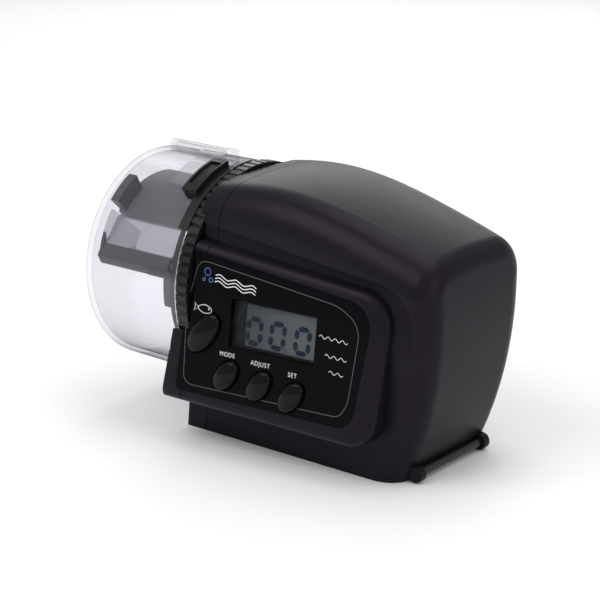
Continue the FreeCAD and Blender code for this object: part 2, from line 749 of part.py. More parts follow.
MOTOR_SHAFT_RADIUS = 1.0
motor_rear = plate_rear + D.motor_length
motor_can = x_cylinder(D.motor_radius, plate_rear, motor_rear, *motor_centre)
flat_corner = Vector(plate_rear, motor_centre[0] - D.motor_radius, motor_centre[1] - D.motor_flat_height / 2)
flat = Part.makeBox(D.motor_length, 2 * D.motor_radius, D.motor_flat_height, flat_corner)
motor = motor_can.common(flat).fuse(x_cylinder(MOTOR_BOSS_RADIUS, plate_front, plate_rear, *motor_centre))
motor = motor.fuse(x_cylinder(3.4, motor_rear, motor_rear + 1.6, *motor_centre))
motor = motor.cut(x_cylinder(MOTOR_SHAFT_RADIUS + D.running_gap, -TALL, plate_rear + 6, *motor_centre))
motor = motor.removeSplitter()
feature("motor", motor.Solids[0])
keep(rod(MOTOR_SHAFT_RADIUS, 9.5, at(motor_centre, MOTOR_PINION_X[0] - 0.4)), "motor_shaft")

# Phases: each wheel is turned so that it meshes with the one before it at rest.
second_phase = mesh_phase(DRUM_TEETH, 0.0, PINION_TEETH, SECOND_ANGLE)
first_phase = mesh_phase(WHEEL_TEETH, 0.0, PINION_TEETH, FIRST_ANGLE)
motor_phase = mesh_phase(WHEEL_TEETH, 0.0, PINION_TEETH, MOTOR_ANGLE)

pinion = gear_wheel(PINION_TEETH, FIRST_MODULE, *MOTOR_PINION_X, motor_centre, motor_phase)
feature("motor_pinion", pinion.cut(x_cylinder(MOTOR_SHAFT_RADIUS, -TALL, TALL, *motor_centre)))


def idler(centre, pinion_x, pinion_module, pinion_phase, wheel_x, wheel_module, hub_x):
    """A moulded idler: a small pinion and a large wheel on one hub, bored for its axle."""
    shape = gear_wheel(PINION_TEETH, pinion_module, *pinion_x, centre, pinion_phase)
    shape = shape.fuse(gear_wheel(WHEEL_TEETH, wheel_module, *wheel_x, centre, 0.0))
    shape = shape.fuse(x_cylinder(1.7, *hub_x, *centre))
    return shape.cut(x_cylinder(D.axle_radius + D.running_gap, -TALL, TALL, *centre)).removeSplitter()


feature("second_idler", idler(
    second_centre, SECOND_PINION_X, DRUM_MODULE, second_phase, SECOND_WHEEL_X, SECOND_MODULE,
    (cup_back + 0.3, plate_front - 0.3)))
feature("first_idler", idler(
    first_centre, FIRST_PINION_X, SECOND_MODULE, first_phase, FIRST_WHEEL_X, FIRST_MODULE,
    (cup_back + 0.3, plate_front - 0.3)))

SHAFT_START = -41.3
FLAT_OFFSET = 2.4
HUB_SCREW_RADIUS = 1.2
bush = x_cylinder(BUSH_RADIUS, -D.recess_floor, BOSS_BACK)
feature("shaft_bush", bush.cut(x_cylinder(D.shaft_radius + D.running_gap, -TALL, 0)))
shaft_flat = Part.makeBox(7.5, 4 * D.shaft_radius, D.shaft_radius, Vector(
    SHAFT_START - 0.5, -2 * D.shaft_radius, D.axis_height + FLAT_OFFSET))
shaft = x_cylinder(D.shaft_radius, SHAFT_START, plate_rear - 0.2).cut(shaft_flat)
shaft = shaft.cut(x_cylinder(HUB_SCREW_RADIUS, -TALL, SHAFT_START + 7))
feature("output_shaft", shaft)
MAGNET_RADIUS, MAGNET_ORBIT = 2.0, 14.0
magnet_z = D.axis_height - MAGNET_ORBIT
drive_gear = gear_wheel(DRUM_TEETH, DRUM_MODULE, *DRUM_GEAR_X, DRUM_CENTRE, 0.0)
drive_gear = drive_gear.fuse(x_cylinder(5.4, DRUM_GEAR_X[0], DRUM_GEAR_X[1] + 3.6))
drive_gear = drive_gear.cut(x_cylinder(D.shaft_radius, -TALL, 0))
drive_gear = drive_gear.cut(x_cylinder(MAGNET_RADIUS, DRUM_GEAR_X[1] - 1.6, 0, 0.0, magnet_z))
WEB_HOLES, WEB_HOLE_ORBIT, WEB_HOLE_RADIUS = 5, 11.5, 3.2
for index in range(WEB_HOLES):
    y, z = polar(DRUM_CENTRE, WEB_HOLE_ORBIT, 90 + 360 / WEB_HOLES * index)
    drive_gear = drive_gear.cut(x_cylinder(WEB_HOLE_RADIUS, -TALL, 0, y, z))
feature("drive_gear", drive_gear.Solids[0])
keep(rod(MAGNET_RADIUS, 1.6, Vector(DRUM_GEAR_X[1] - 1.6, 0, magnet_z)), "home_magnet")

reed_x = DRUM_GEAR_X[1] + 3.4
reed = Part.makeCylinder(1.1, 13.0, Vector(reed_x, -6.5, magnet_z), Y_AXIS)
for side in (-1, 1):
    holder_corner = Vector(reed_x, side * 4.5 - 1.0, magnet_z - 1.5)
    holder = Part.makeBox(plate_front - reed_x, 2.0, 3.0, holder_corner)
    reed = reed.fuse(holder)
feature("reed_switch", reed.removeSplitter())

# ---------------------------------------------------------------- drum


def arc_plate(inner, outer, start, end, low, high):
    """A curved plate about the drum axis: radii, angles in the YZ plane, and positions along X."""
    corners = []
    middle = (start + end) / 2
    for radius, angles in ((outer, (start, middle, end)), (inner, (end, middle, start))):
        corners.append([Vector(low, *polar(DRUM_CENTRE, radius, angle)) for angle in angles])
    first, second = corners
    wire = Part.Wire([
        Part.Arc(*first).toShape(),
        Part.LineSegment(first[-1], second[0]).toShape(),
        Part.Arc(*second).toShape(),
        Part.LineSegment(second[-1], first[0]).toShape(),
    ])
    return prism(wire, Vector(high - low, 0, 0))


CHUTE_ANGLES = (100.5, 126.5)
CHUTE_X = (-48.0, -41.5)
CHUTE_RADII = (36.6, 42.0)
COLLAR_END = -38.2
OUTLET_ANGLES = (104.0, 122.0)
OUTLET_X = (-47.0, -42.2)
outlet_way = arc_plate(30.0, 50.0, *OUTLET_ANGLES, *OUTLET_X)

mouth_radius, end_radius = D.drum_mouth_radius, D.drum_end_radius
drum_length = D.drum_end - D.drum_mouth
taper = (mouth_radius - end_radius) / drum_length


def end_rim(solid, x):
    """The closed edges of a solid that lie in the plane at x."""
    return [edge for edge in solid.Edges if edge.Closed and abs(edge.BoundBox.XMax - x) < 0.01]


cup_solid = Part.makeCone(
    end_radius, mouth_radius, drum_length, Vector(-D.drum_end, 0, D.axis_height), X_AXIS)
cup_solid = cup_solid.makeFillet(2.2, end_rim(cup_solid, -D.drum_end))
cup_void = Part.makeCone(
    end_radius - D.drum_wall, mouth_radius - D.drum_wall + taper * 2, drum_length + 2,
    Vector(-D.drum_end + D.drum_wall, 0, D.axis_height), X_AXIS)
cup_void = cup_void.makeFillet(1.4, end_rim(cup_void, D.drum_wall - D.drum_end))
chute_notch = arc_plate(34.0, 46.0, CHUTE_ANGLES[0] - 0.3, CHUTE_ANGLES[1] + 0.3, CHUTE_X[0] - 0.2, 0.0)
drum_cup = cup_solid.cut(cup_void).cut(chute_notch)
feature("drum_cup", drum_cup.Solids[0])

SPIGOT_RADII = (36.0, 37.5)
SPIGOT_START = -43.0
RING_INNER = 37.9
ring_points = []
tooth_step = 360.0 / D.knurl_count
for index in range(int(D.knurl_count)):
    middle = index * tooth_step
    for share, radius in ((-0.46, D.ring_radius - D.knurl_depth), (-0.30, D.ring_radius),
                          (0.30, D.ring_radius), (0.46, D.ring_radius - D.knurl_depth)):
        ring_points.append(Vector(-D.drum_mouth, *polar(DRUM_CENTRE, radius, middle + share * tooth_step)))
ring_back = -D.ring_back
web_front = ring_back - D.ring_web
drum_ring = prism(Part.makePolygon(ring_points + ring_points[:1]), Vector(ring_back + D.drum_mouth, 0, 0))
drum_ring = drum_ring.cut(x_cylinder(RING_INNER, -TALL, web_front))
spigot = x_cylinder(SPIGOT_RADII[1], SPIGOT_START, web_front)
spigot = spigot.cut(x_cylinder(SPIGOT_RADII[0], -TALL, web_front))
spigot = spigot.cut(arc_plate(
    35.0, 39.0, CHUTE_ANGLES[0] - 0.5, CHUTE_ANGLES[1] + 0.5, -TALL, -D.drum_mouth + 0.01))
hub = x_cylinder(6.5, SHAFT_START - 0.2, web_front + 0.2)
drum_ring = drum_ring.fuse(spigot).fuse(hub)
drum_ring = drum_ring.cut(x_cylinder(D.shaft_radius, SHAFT_START, 0).cut(shaft_flat))
drum_ring = drum_ring.cut(x_cylinder(HUB_SCREW_RADIUS, -TALL, 0)).removeSplitter()
feature("drum_ring", drum_ring.Solids[0])
hub_screw_tip = Vector(SHAFT_START + 6.5, 0, D.axis_height)
feature("hub_screw", screw(hub_screw_tip, Vector(-1, 0, 0), 6.7, HUB_SCREW_RADIUS, 2.8, 1.5))

SCOOP_X = (-80.4, -47.9)
SCOOP_ARC = (28.2, 29.8, 80.0, 141.8)
SCOOP_END_THICKNESS = 1.4
# Outlines of the dark tray and of the clear slide above it, as offsets (y, z) from the drum axis.
TRAY_OUTLINE = [(-31.3, 10.1), (-33.8, 6.0), (-32.2, 2.8), (-30.7, 3.6), (-31.9, 6.0), (-30.3, 9.2)]
SLIDE_OUTLINE = [(-24.3, 18.9), (-28.3, 13.5), (-31.3, 10.3), (-30.3, 9.4), (-27.4, 12.6), (-23.4, 17.9)]


def scoop_wall(outline, low, high):
    """A wall of the scoop: a polygon square to the drum axis, drawn out along it."""
    corners = [Vector(low, y, D.axis_height + z) for y, z in outline]
    return prism(Part.makePolygon(corners + corners[:1]), Vector(high - low, 0, 0))


tray_wall = scoop_wall(TRAY_OUTLINE, *SCOOP_X)
shelf = Part.makeBox(SCOOP_X[1] - SCOOP_X[0], 15.0, 1.4, Vector(SCOOP_X[0], -31.6, D.axis_height + 3.2))
scoop_end = arc_plate(16.0, 33.5, 141.0, 172.0, SCOOP_X[0], SCOOP_X[0] + SCOOP_END_THICKNESS)
vane = arc_plate(*SCOOP_ARC, SCOOP_X[0], SCOOP_X[1] + 8.0)
paddle = arc_plate(29.4, 36.0, 117.0, 137.0, SCOOP_X[0], SCOOP_X[0] + 3.6)
foot = arc_plate(33.6, 35.4, 170.0, 190.0, SCOOP_X[1], web_front)
link = arc_plate(31.0, 34.6, 168.0, 174.0, SCOOP_X[1] - 8.0, SCOOP_X[1] + 1.0)
drum_scoop = tray_wall.fuse(shelf).fuse(scoop_end).fuse(vane).fuse(paddle).fuse(foot).fuse(link)
feature("drum_scoop", drum_scoop.removeSplitter())
feature("scoop_slide", scoop_wall(
    SLIDE_OUTLINE, SCOOP_X[0] + SCOOP_END_THICKNESS, SCOOP_X[1]).cut(drum_scoop))

chute = arc_plate(*CHUTE_RADII, *CHUTE_ANGLES, *CHUTE_X)
collar = arc_plate(CHUTE_RADII[0] + 1.2, D.ring_radius + 0.2, *CHUTE_ANGLES, CHUTE_X[1] - 0.5, COLLAR_END)
wing = arc_plate(
    mouth_radius + 0.05, D.ring_radius + 0.3, CHUTE_ANGLES[1] - 1, 146.0, -42.3, COLLAR_END - 0.1)
step = arc_plate(
    mouth_radius + 0.05, D.ring_radius + 0.3, 88.0, CHUTE_ANGLES[0] + 1, -40.8, COLLAR_END - 0.1)
GATE_RADII = (40.0, 41.2)
GATE_ANGLES = (92.0, 123.5)
gate_way = arc_plate(
    GATE_RADII[0] - 0.2, GATE_RADII[1] + 0.2, 95.0, GATE_ANGLES[1] + 0.6, -60.0, CHUTE_X[1] - 0.3)
chute = chute.fuse(collar).cut(outlet_way).cut(gate_way).fuse(wing).fuse(step)
feature("outlet_chute", chute.removeSplitter())

GRIP_ANGLE = 96.0
GRIP_ORBIT = 42.4
GRIP_RADII = (1.5, 2.3)
GRIP_X = (-69.5, -45.0)
BLOCK_END = -41.2
grip_y, grip_z = polar(DRUM_CENTRE, GRIP_ORBIT, GRIP_ANGLE)
tongue = arc_plate(*GATE_RADII, *GATE_ANGLES, -56.0, CHUTE_X[1] - 0.6)
grip = x_cylinder(GRIP_RADII[1], *GRIP_X, grip_y, grip_z)
carrier = arc_plate(GATE_RADII[0], 44.4, GRIP_ANGLE - 3.4, GRIP_ANGLE + 3.4, GRIP_X[1] - 0.4, BLOCK_END)
rail = arc_plate(GATE_RADII[0], 41.0, GRIP_ANGLE - 2.0, GRIP_ANGLE + 2.0, GRIP_X[0] + 2, GRIP_X[1])
dose_gate = grip.fuse(carrier).fuse(tongue).fuse(rail)
dose_gate = dose_gate.cut(x_cylinder(GRIP_RADII[0], GRIP_X[0] + 1.2, GRIP_X[1] - 0.8, grip_y, grip_z))
feature("dose_gate", dose_gate.removeSplitter())
SCALE_SIZE = (10.5, 2.6, 0.3)
scale = Part.makeBox(*SCALE_SIZE, Vector(
    GRIP_X[1] - 0.9 - SCALE_SIZE[0], -SCALE_SIZE[1] / 2, -SCALE_SIZE[2] / 2))
scale.Placement = Placement(Vector(0, grip_y, grip_z), Rotation(X_AXIS, GRIP_ANGLE - 90))
feature("gate_scale", scale)

# ---------------------------------------------------------------- control panel and its electronics

WINDOW_CENTRE = (35.5, 26.3)
BUTTON_TILT = 52.0
# Each button: its centre on the panel, half length and half width.
BUTTONS = {
    "feed_button": ((8.1, 20.9), 8.5, 4.7),
    "mode_button": ((18.5, 8.1), 6.3, 4.1),
    "adjust_button": ((32.1, 7.1), 6.3, 4.1),
    "set_button": ((45.2, 5.9), 6.3, 4.1),
}
SWITCH_CENTRES = {
    "feed_button": (12.6, 24.0),
    "mode_button": (18.5, 8.1),
    "adjust_button": (32.1, 7.1),
    "set_button": (45.2, 6.4),
}
BOARD_POSTS = [(12.6, 39.6), (62.3, 35.0), (61.6, 5.4), (25.3, 4.6)]
POST_SIZE = 1.7
board_face = -D.board_depth
board_back = board_face - D.board_thickness
CAP_BACK, CAP_FRONT = -0.9, 1.7
FLANGE_FRONT, FLANGE_THICKNESS = -D.panel_thickness - 0.3, 0.8
STEM_END = -4.9


def oval(centre, half_length, half_width, low, high):
    """An oval prism on the panel, its long axis tilted."""
    ellipse = Part.Ellipse(Vector(0, 0, 0), half_length, half_width)
    wire = Part.Wire(ellipse.toShape())
    wire.Placement = on_panel(*centre, low).multiply(Placement(Vector(), Rotation(Z_AXIS, BUTTON_TILT)))
    return prism(wire, PANEL_OUT * (high - low))


def panel_rod(centre, radius, low, high):
    """A cylinder square to the panel."""
    return Part.makeCylinder(radius, high - low, on_panel(*centre, low).Base, PANEL_OUT)


def panel_block(centre, width, height, low, high):
    """A box square to the panel, centred on a point of it."""
    box = Part.makeBox(width, height, high - low, Vector(-width / 2, -height / 2, 0))
    box.Placement = on_panel(*centre, low)
    return box


panel = panel_prism(PANEL_CORNERS, PANEL_RADII, -D.panel_thickness, 0.0)
for centre, half_length, half_width in BUTTONS.values():
    panel = panel.cut(oval(centre, half_length + D.button_gap, half_width + D.button_gap, -5, 5))
panel = panel.cut(panel_block(WINDOW_CENTRE, D.window_width, D.window_height, -5, 5))
for centre in BOARD_POSTS:
    panel = panel.fuse(panel_rod(centre, POST_SIZE, board_face, -D.panel_thickness + 0.3))
for centre in BOARD_POSTS:
    panel = panel.cut(panel_rod(centre, 0.8, board_face - 1, -D.panel_thickness))
panel = panel.cut(x_cylinder(D.recess_radius + 0.2, -TALL, -D.recess_floor + 0.2))
panel = panel.cut(x_cylinder(D.sweep_radius, -TALL, -D.sweep_floor))
feature("control_panel", panel.Solids[0])
WINDOW_FIT = 0.1
feature("lcd_window", panel_block(
    WINDOW_CENTRE, D.window_width - WINDOW_FIT, D.window_height - WINDOW_FIT, -D.panel_thickness, -0.5))
GLASS_BACK = -D.panel_thickness - 3.0
feature("lcd_module", panel_block(WINDOW_CENTRE, 38.0, 20.6, GLASS_BACK, -D.panel_thickness - 0.2))
connector_centre = (WINDOW_CENTRE[0], WINDOW_CENTRE[1] + 8.6)
feature("display_connector", panel_block(connector_centre, 34.0, 2.6, board_face, GLASS_BACK))

BOARD_CORNERS = [(9.8, 2.4), (64.6, 2.4), (66.3, 37.4), (9.8, 43.0)]
board = panel_prism(BOARD_CORNERS, [1.5] * 4, board_back, board_face)
for centre in BOARD_POSTS:
    board = board.cut(panel_rod(centre, 1.0, board_back - 1, board_face + 1))
feature("circuit_board", board)
switches = []
for centre in SWITCH_CENTRES.values():
    switches.append(panel_block(centre, 4.6, 4.6, board_face, board_face + 1.4).fuse(
        panel_rod(centre, 1.1, board_face + 1.4, board_face + 2.1)))
feature("tact_switches", Part.makeCompound(switches))
feature("controller_chip", panel_block((36.0, 24.0), 10.0, 10.0, board_back - 1.5, board_back))
crystal_start = on_panel(50.0, 24.0, board_back - 1.0).Base
feature("clock_crystal", Part.makeCylinder(1.0, 6.0, crystal_start, PANEL_TURN.multVec(Y_AXIS)))
PANEL_IN = PANEL_OUT * -1
BOARD_SCREW = 4.6
board_screws = []
for centre in BOARD_POSTS:
    screw_tip = on_panel(*centre, board_back + BOARD_SCREW).Base
    board_screws.append(screw(screw_tip, PANEL_IN, BOARD_SCREW, 0.8, 1.7, 1.1))
feature("board_screws", Part.makeCompound(board_screws))

flange_bound = panel_block((37.2, 22.3), 64.0, 40.0, -10, 10)
for node, (centre, half_length, half_width) in BUTTONS.items():
    cap = oval(centre, half_length, half_width, CAP_BACK, CAP_FRONT)
    rim = [edge for edge in cap.Edges if edge.Closed
           and abs((edge.CenterOfMass - on_panel(*centre, CAP_FRONT).Base).dot(PANEL_OUT)) < 0.01]
    cap = cap.makeFillet(1.3, rim)
    core = oval(centre, half_length - 0.6, half_width - 0.6, FLANGE_FRONT - 0.1, CAP_BACK + 0.2)
    flange_back = FLANGE_FRONT - FLANGE_THICKNESS
    flange = oval(centre, half_length + 0.7, half_width + 0.7, flange_back, FLANGE_FRONT)
    stem = panel_rod(SWITCH_CENTRES[node], 1.4, STEM_END, flange_back + 0.1)
    inner = core.fuse(flange).common(flange_bound)
    for post in BOARD_POSTS:
        inner = inner.cut(panel_rod(post, POST_SIZE + 0.3, -20, 0))
    inner = inner.cut(panel_block(WINDOW_CENTRE, 38.6, 21.2, -20, -D.panel_thickness))
    feature(node, cap.fuse(inner).fuse(stem).removeSplitter())

# ---------------------------------------------------------------- checks and export

doc.recompute()
for obj in doc.Objects:
    if {"Invalid", "Error"} & set(obj.State):
        raise RuntimeError(f"{obj.Label}: {obj.State}")
os.makedirs("parts", exist_ok=True)
for piece in PIECES:
    shape = piece.Shape
    if shape.isNull() or not shape.isValid() or shape.Volume <= 0:
        raise RuntimeError(f"{piece.Label} has no valid solid")
    shape.exportStep(f"parts/{piece.Label}.step")
    print(f"{piece.Label:20s} solids {len(shape.Solids)}  volume {shape.Volume:10.1f}")
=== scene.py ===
"""The looks of an automatic fish feeder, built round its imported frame.

The case, the drum and the works come from the frame and get their finishes here. What is printed or
shown on the display, the bead round the drum's mouth and its eyelet are modelled here, and ride on the
frame's bodies.
"""

from __future__ import annotations

import json
import logging
import math
from dataclasses import dataclass, field
from enum import Enum
from typing import Callable, Iterable, Sequence

import bpy
from mathutils import Matrix, Vector


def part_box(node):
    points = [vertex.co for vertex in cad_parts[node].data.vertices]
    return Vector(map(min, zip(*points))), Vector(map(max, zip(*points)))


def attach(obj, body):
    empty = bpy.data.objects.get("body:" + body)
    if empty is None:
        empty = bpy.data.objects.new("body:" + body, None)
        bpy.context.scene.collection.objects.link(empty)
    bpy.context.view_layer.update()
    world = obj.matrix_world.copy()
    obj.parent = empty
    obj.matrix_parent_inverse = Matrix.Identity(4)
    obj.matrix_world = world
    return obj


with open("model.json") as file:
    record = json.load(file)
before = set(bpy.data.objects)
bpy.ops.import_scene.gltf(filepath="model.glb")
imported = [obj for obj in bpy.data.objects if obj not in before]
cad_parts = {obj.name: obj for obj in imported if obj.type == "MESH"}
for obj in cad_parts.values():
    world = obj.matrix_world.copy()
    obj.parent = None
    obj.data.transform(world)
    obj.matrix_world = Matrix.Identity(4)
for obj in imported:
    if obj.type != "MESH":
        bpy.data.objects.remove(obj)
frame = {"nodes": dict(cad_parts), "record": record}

log = logging.getLogger("feeder")

Colour = tuple[float, float, float]
Point2 = tuple[float, float]
MM = 0.001
Z_AXIS = Vector((0, 0, 1))
DUST: Colour = (0.12, 0.12, 0.125)

# The Mix node has a set of sockets for each type: these are the ones for colours.
MIX_FIRST, MIX_SECOND, MIX_RESULT = 6, 7, 2


def tone(colour: Colour, factor: float, lift: float = 0.0) -> Colour:
    """Darken or lighten a colour.

    Args:
        colour: the colour.
        factor: what each channel is multiplied by.
        lift: what is added to each channel after that.

    Returns:
        The new colour, held at white.
    """
    red, green, blue = (min(1.0, channel * factor + lift) for channel in colour)
    return red, green, blue


# ---------------------------------------------------------------- shader maths


class Signal:
    """A shader socket that takes part in Python arithmetic."""

    def __init__(self, tree: Tree, socket: bpy.types.NodeSocket) -> None:
        """Wrap an output socket.

        Args:
            tree: the node tree that the socket belongs to.
            socket: the output to wrap.
        """
        self.tree = tree
        self.socket = socket

    def math(self, operation: str, *values: Signal | float) -> Signal:
        """Add one Math node.

        Args:
            operation: the Math node's operation.
            values: its inputs, in order.

        Returns:
            The node's value.
        """
        node = self.tree.add("ShaderNodeMath", {"operation": operation}, dict(enumerate(values)))
        return self.tree.out(node)

    def __add__(self, other: Signal | float) -> Signal:
        """Sum."""
        return self.math("ADD", self, other)

    __radd__ = __add__

    def __mul__(self, other: Signal | float) -> Signal:
        """Product."""
        return self.math("MULTIPLY", self, other)

    __rmul__ = __mul__

    def __sub__(self, other: Signal | float) -> Signal:
        """Difference."""
        return self.math("SUBTRACT", self, other)

    def __rsub__(self, other: float) -> Signal:
        """Difference from a number."""
        return self.math("SUBTRACT", other, self)

    def __truediv__(self, other: Signal | float) -> Signal:
        """Quotient."""
        return self.math("DIVIDE", self, other)

    def __pow__(self, other: float) -> Signal:
        """Power."""
        return self.math("POWER", self, other)

    def above(self, limit: float) -> Signal:
        """One where this is greater than a limit, and nought elsewhere."""
        return self.math("GREATER_THAN", self, limit)

    def size(self) -> Signal:
        """The value without its sign."""
        return self.math("ABSOLUTE", self)

    def between(self, low: float, high: float) -> Signal:
        """Stretch a range to nought to one, and clamp it.

        Args:
            low: the value that becomes nought.
            high: the value that becomes one.

        Returns:
            The stretched value.
        """
        node = self.tree.add("ShaderNodeMapRange", {"clamp": True}, {0: self, 1: low, 2: high})
        return self.tree.out(node)


class Tree:
    """A material's node tree, with one way to add any node."""

    def __init__(self, name: str) -> None:
        """Start an empty material.

        Args:
            name: the material's name.
        """
        self.material = bpy.data.materials.new(name)
        self.material.use_nodes = True
        self.nodes = self.material.node_tree.nodes
        self.links = self.material.node_tree.links
        self.nodes.clear()
        self._place: Signal | None = None

    def add(self, kind: str, settings: dict | None = None, values: dict | None = None) -> bpy.types.Node:
        """Add a node: its settings first, then its sockets.

        Args:
            kind: the node's type.
            settings: its properties.
            values: socket name or number to a number, a colour or a Signal.

        Returns:
            The new node.
        """
        node = self.nodes.new(kind)
        for key, value in (settings or {}).items():
            setattr(node, key, value)
        for key, value in (values or {}).items():
            if isinstance(value, Signal):
                self.links.new(value.socket, node.inputs[key])
            else:
                node.inputs[key].default_value = value
        return node

    def out(self, node: bpy.types.Node, socket: str | int = 0) -> Signal:
        """Wrap one of a node's outputs."""
        return Signal(self, node.outputs[socket])

    def place(self) -> Signal:
        """The point on the surface, in the frame's own metres.

        Returns:
            The Object coordinates.
        """
        if self._place is None:
            self._place = self.out(self.add("ShaderNodeTexCoord"), "Object")
        return self._place

    def parts(self) -> tuple[Signal, Signal, Signal]:
        """The X, Y and Z of the point on the surface."""
        node = self.add("ShaderNodeSeparateXYZ", None, {0: self.place()})
        return self.out(node, 0), self.out(node, 1), self.out(node, 2)

    def along(self, direction: Vector, origin: Vector) -> Signal:
        """How far the surface point is from an origin along a direction.

        Args:
            direction: a unit vector.
            origin: the point where the distance is nought.

        Returns:
            The signed distance, in metres.
        """
        offset = self.add("ShaderNodeVectorMath", {"operation": "SUBTRACT"}, {0: self.place(), 1: origin})
        dot = self.add(
            "ShaderNodeVectorMath", {"operation": "DOT_PRODUCT"}, {0: self.out(offset), 1: direction})
        return self.out(dot, "Value")

    def stretched(self, scale: Colour, turn: Colour = (0.0, 0.0, 0.0)) -> Signal:
        """The surface point, turned and scaled by axis.

        Args:
            scale: the factor on each axis.
            turn: the turn about each axis, in radians.

        Returns:
            The mapped point.
        """
        return self.out(self.add("ShaderNodeMapping", None, {
            0: self.place(), "Scale": scale, "Rotation": turn}))

    def noise(
            self, size: float, detail: float = 3.0, where: Signal | None = None, seed: float = 0.0) -> Signal:
        """Fractal noise, from nought to one.

        Args:
            size: the size of its features, in metres.
            detail: the number of octaves.
            where: the point to sample, or the surface point.
            seed: moves the pattern.

        Returns:
            The noise value.
        """
        node = self.add("ShaderNodeTexNoise", {"noise_dimensions": "4D"}, {
            "Vector": where or self.place(), "W": seed, "Scale": 1.0 / size, "Detail": detail})
        return self.out(node)

    def blend(self, factor: Signal | float, low: Signal | Colour, high: Signal | Colour) -> Signal:
        """Mix two colours.

        Args:
            factor: nought for the first, one for the second.
            low: the first colour.
            high: the second colour.

        Returns:
            The mixed colour.
        """
        first, second = (
            colour if isinstance(colour, Signal) else (*colour, 1.0) for colour in (low, high))
        node = self.add("ShaderNodeMix", {"data_type": "RGBA"}, {
            0: factor, MIX_FIRST: first, MIX_SECOND: second})
        return self.out(node, MIX_RESULT)

    def mix(self, factor: Signal, first: bpy.types.Node, second: bpy.types.Node) -> bpy.types.Node:
        """Mix two shaders.

        Args:
            factor: nought for the first, one for the second.
            first: the first shader.
            second: the second shader.

        Returns:
            The node that mixes them.
        """
        return self.add("ShaderNodeMixShader", None, {0: factor, 1: self.out(first), 2: self.out(second)})

    def bump(self, height: Signal, depth: float, strength: float = 1.0) -> Signal:
        """A normal from a height.

        Args:
            height: the height, from nought to one.
            depth: what a height of one stands for, in metres.
            strength: how much of it shows.

        Returns:
            The bumped normal.
        """
        return self.out(self.add("ShaderNodeBump", None, {
            "Height": height, "Distance": depth, "Strength": strength}))

    def surface(self, **values: Signal | float | Colour) -> bpy.types.Node:
        """Add the Principled shader.

        Args:
            values: its sockets, with spaces written as underscores.

        Returns:
            The shader node.
        """
        named = {}
        for key, value in values.items():
            name = key.replace("_", " ")
            named[name] = (*value, 1.0) if isinstance(value, tuple) and len(value) == 3 else value
        return self.add("ShaderNodeBsdfPrincipled", None, named)

    def finish(self, shader: bpy.types.Node) -> bpy.types.Material:
        """Link a shader to the output.

        Args:
            shader: the node that makes the surface.

        Returns:
            The finished material.
        """
        self.links.new(shader.outputs[0], self.add("ShaderNodeOutputMaterial").inputs["Surface"])
        return self.material


# ---------------------------------------------------------------- finishes


class Finish:
    """A finish that becomes one material, made once."""

    name: str
    _made: dict[str, bpy.types.Material] = {}

    def material(self) -> bpy.types.Material:
        """The finish's material, built when it is first asked for.

        Returns:
            The material.
        """
        if self.name not in Finish._made:
            Finish._made[self.name] = self.build(Tree(self.name))
        return Finish._made[self.name]

    def build(self, tree: Tree) -> bpy.types.Material:
        """Build the material's nodes."""
        raise NotImplementedError


@dataclass(frozen=True)
class MouldedPlastic(Finish):
    """Injection-moulded plastic with a fine spark-eroded grain and light handling marks."""

    name: str
    colour: Colour
    roughness: float = 0.38
    grain: float = 0.35 * MM
    grain_depth: float = 0.02 * MM
    mottle: float = 0.06
    specular: float = 0.5
    sheen_tint: Colour | None = None

    def build(self, tree: Tree) -> bpy.types.Material:
        """Build the grain, the flow mottling and the rubbed patches.

        Args:
            tree: the material's empty tree.

        Returns:
            The finished material.
        """
        fine = tree.noise(self.grain, 4.0)
        flow = tree.noise(14 * MM, 3.0, tree.stretched((0.5, 1.0, 1.4)), 2.0)
        rubbed = tree.noise(26 * MM, 5.0, seed=5.0).between(0.52, 0.72)
        drawn_out = tree.stretched((0.05, 1.0, 0.9), (0.4, 0.2, 0.7))
        scratches = tree.noise(1.2 * MM, 2.0, drawn_out, 9.0).between(0.71, 0.76)
        colour = tree.blend(flow, tone(self.colour, 0.82), tone(self.colour, 1.16, 0.001))
        colour = tree.blend(scratches * 0.12, colour, tone(self.colour, 2.0, 0.03))
        rough = self.roughness + (flow - 0.5) * self.mottle - rubbed * 0.05 + scratches * 0.08
        height = fine + scratches * -0.5
        shader = tree.surface(
            Base_Color=colour, Roughness=rough, Specular_IOR_Level=self.specular,
            Normal=tree.bump(height, self.grain_depth))
        if self.sheen_tint:
            shader.inputs["Specular Tint"].default_value = (*self.sheen_tint, 1.0)
        return tree.finish(shader)


@dataclass(frozen=True)
class GlossyPlastic(Finish):
    """Polished plastic with faint orange peel, dust and hairline scratches."""

    name: str
    colour: Colour
    roughness: float = 0.1
    specular: float = 0.5

    def build(self, tree: Tree) -> bpy.types.Material:
        """Build the orange peel, dust specks and hairlines.

        Args:
            tree: the material's empty tree.

        Returns:
            The finished material.
        """
        peel = tree.noise(3.5 * MM, 1.0)
        dust = tree.noise(0.5 * MM, 1.0, seed=3.0).between(0.74, 0.78)
        drawn_out = tree.stretched((0.03, 1.0, 0.6), (0.2, 0.1, 0.3))
        lines = tree.noise(0.7 * MM, 1.0, drawn_out, 7.0).between(0.70, 0.74)
        smudge = tree.noise(9 * MM, 4.0, seed=4.0).between(0.5, 0.8)
        colour = tree.blend(dust * 0.12, self.colour, DUST)
        rough = self.roughness + smudge * 0.07 + lines * 0.1 + dust * 0.3
        return tree.finish(tree.surface(
            Base_Color=colour, Roughness=rough, Specular_IOR_Level=self.specular,
            Normal=tree.bump(peel, 0.02 * MM)))


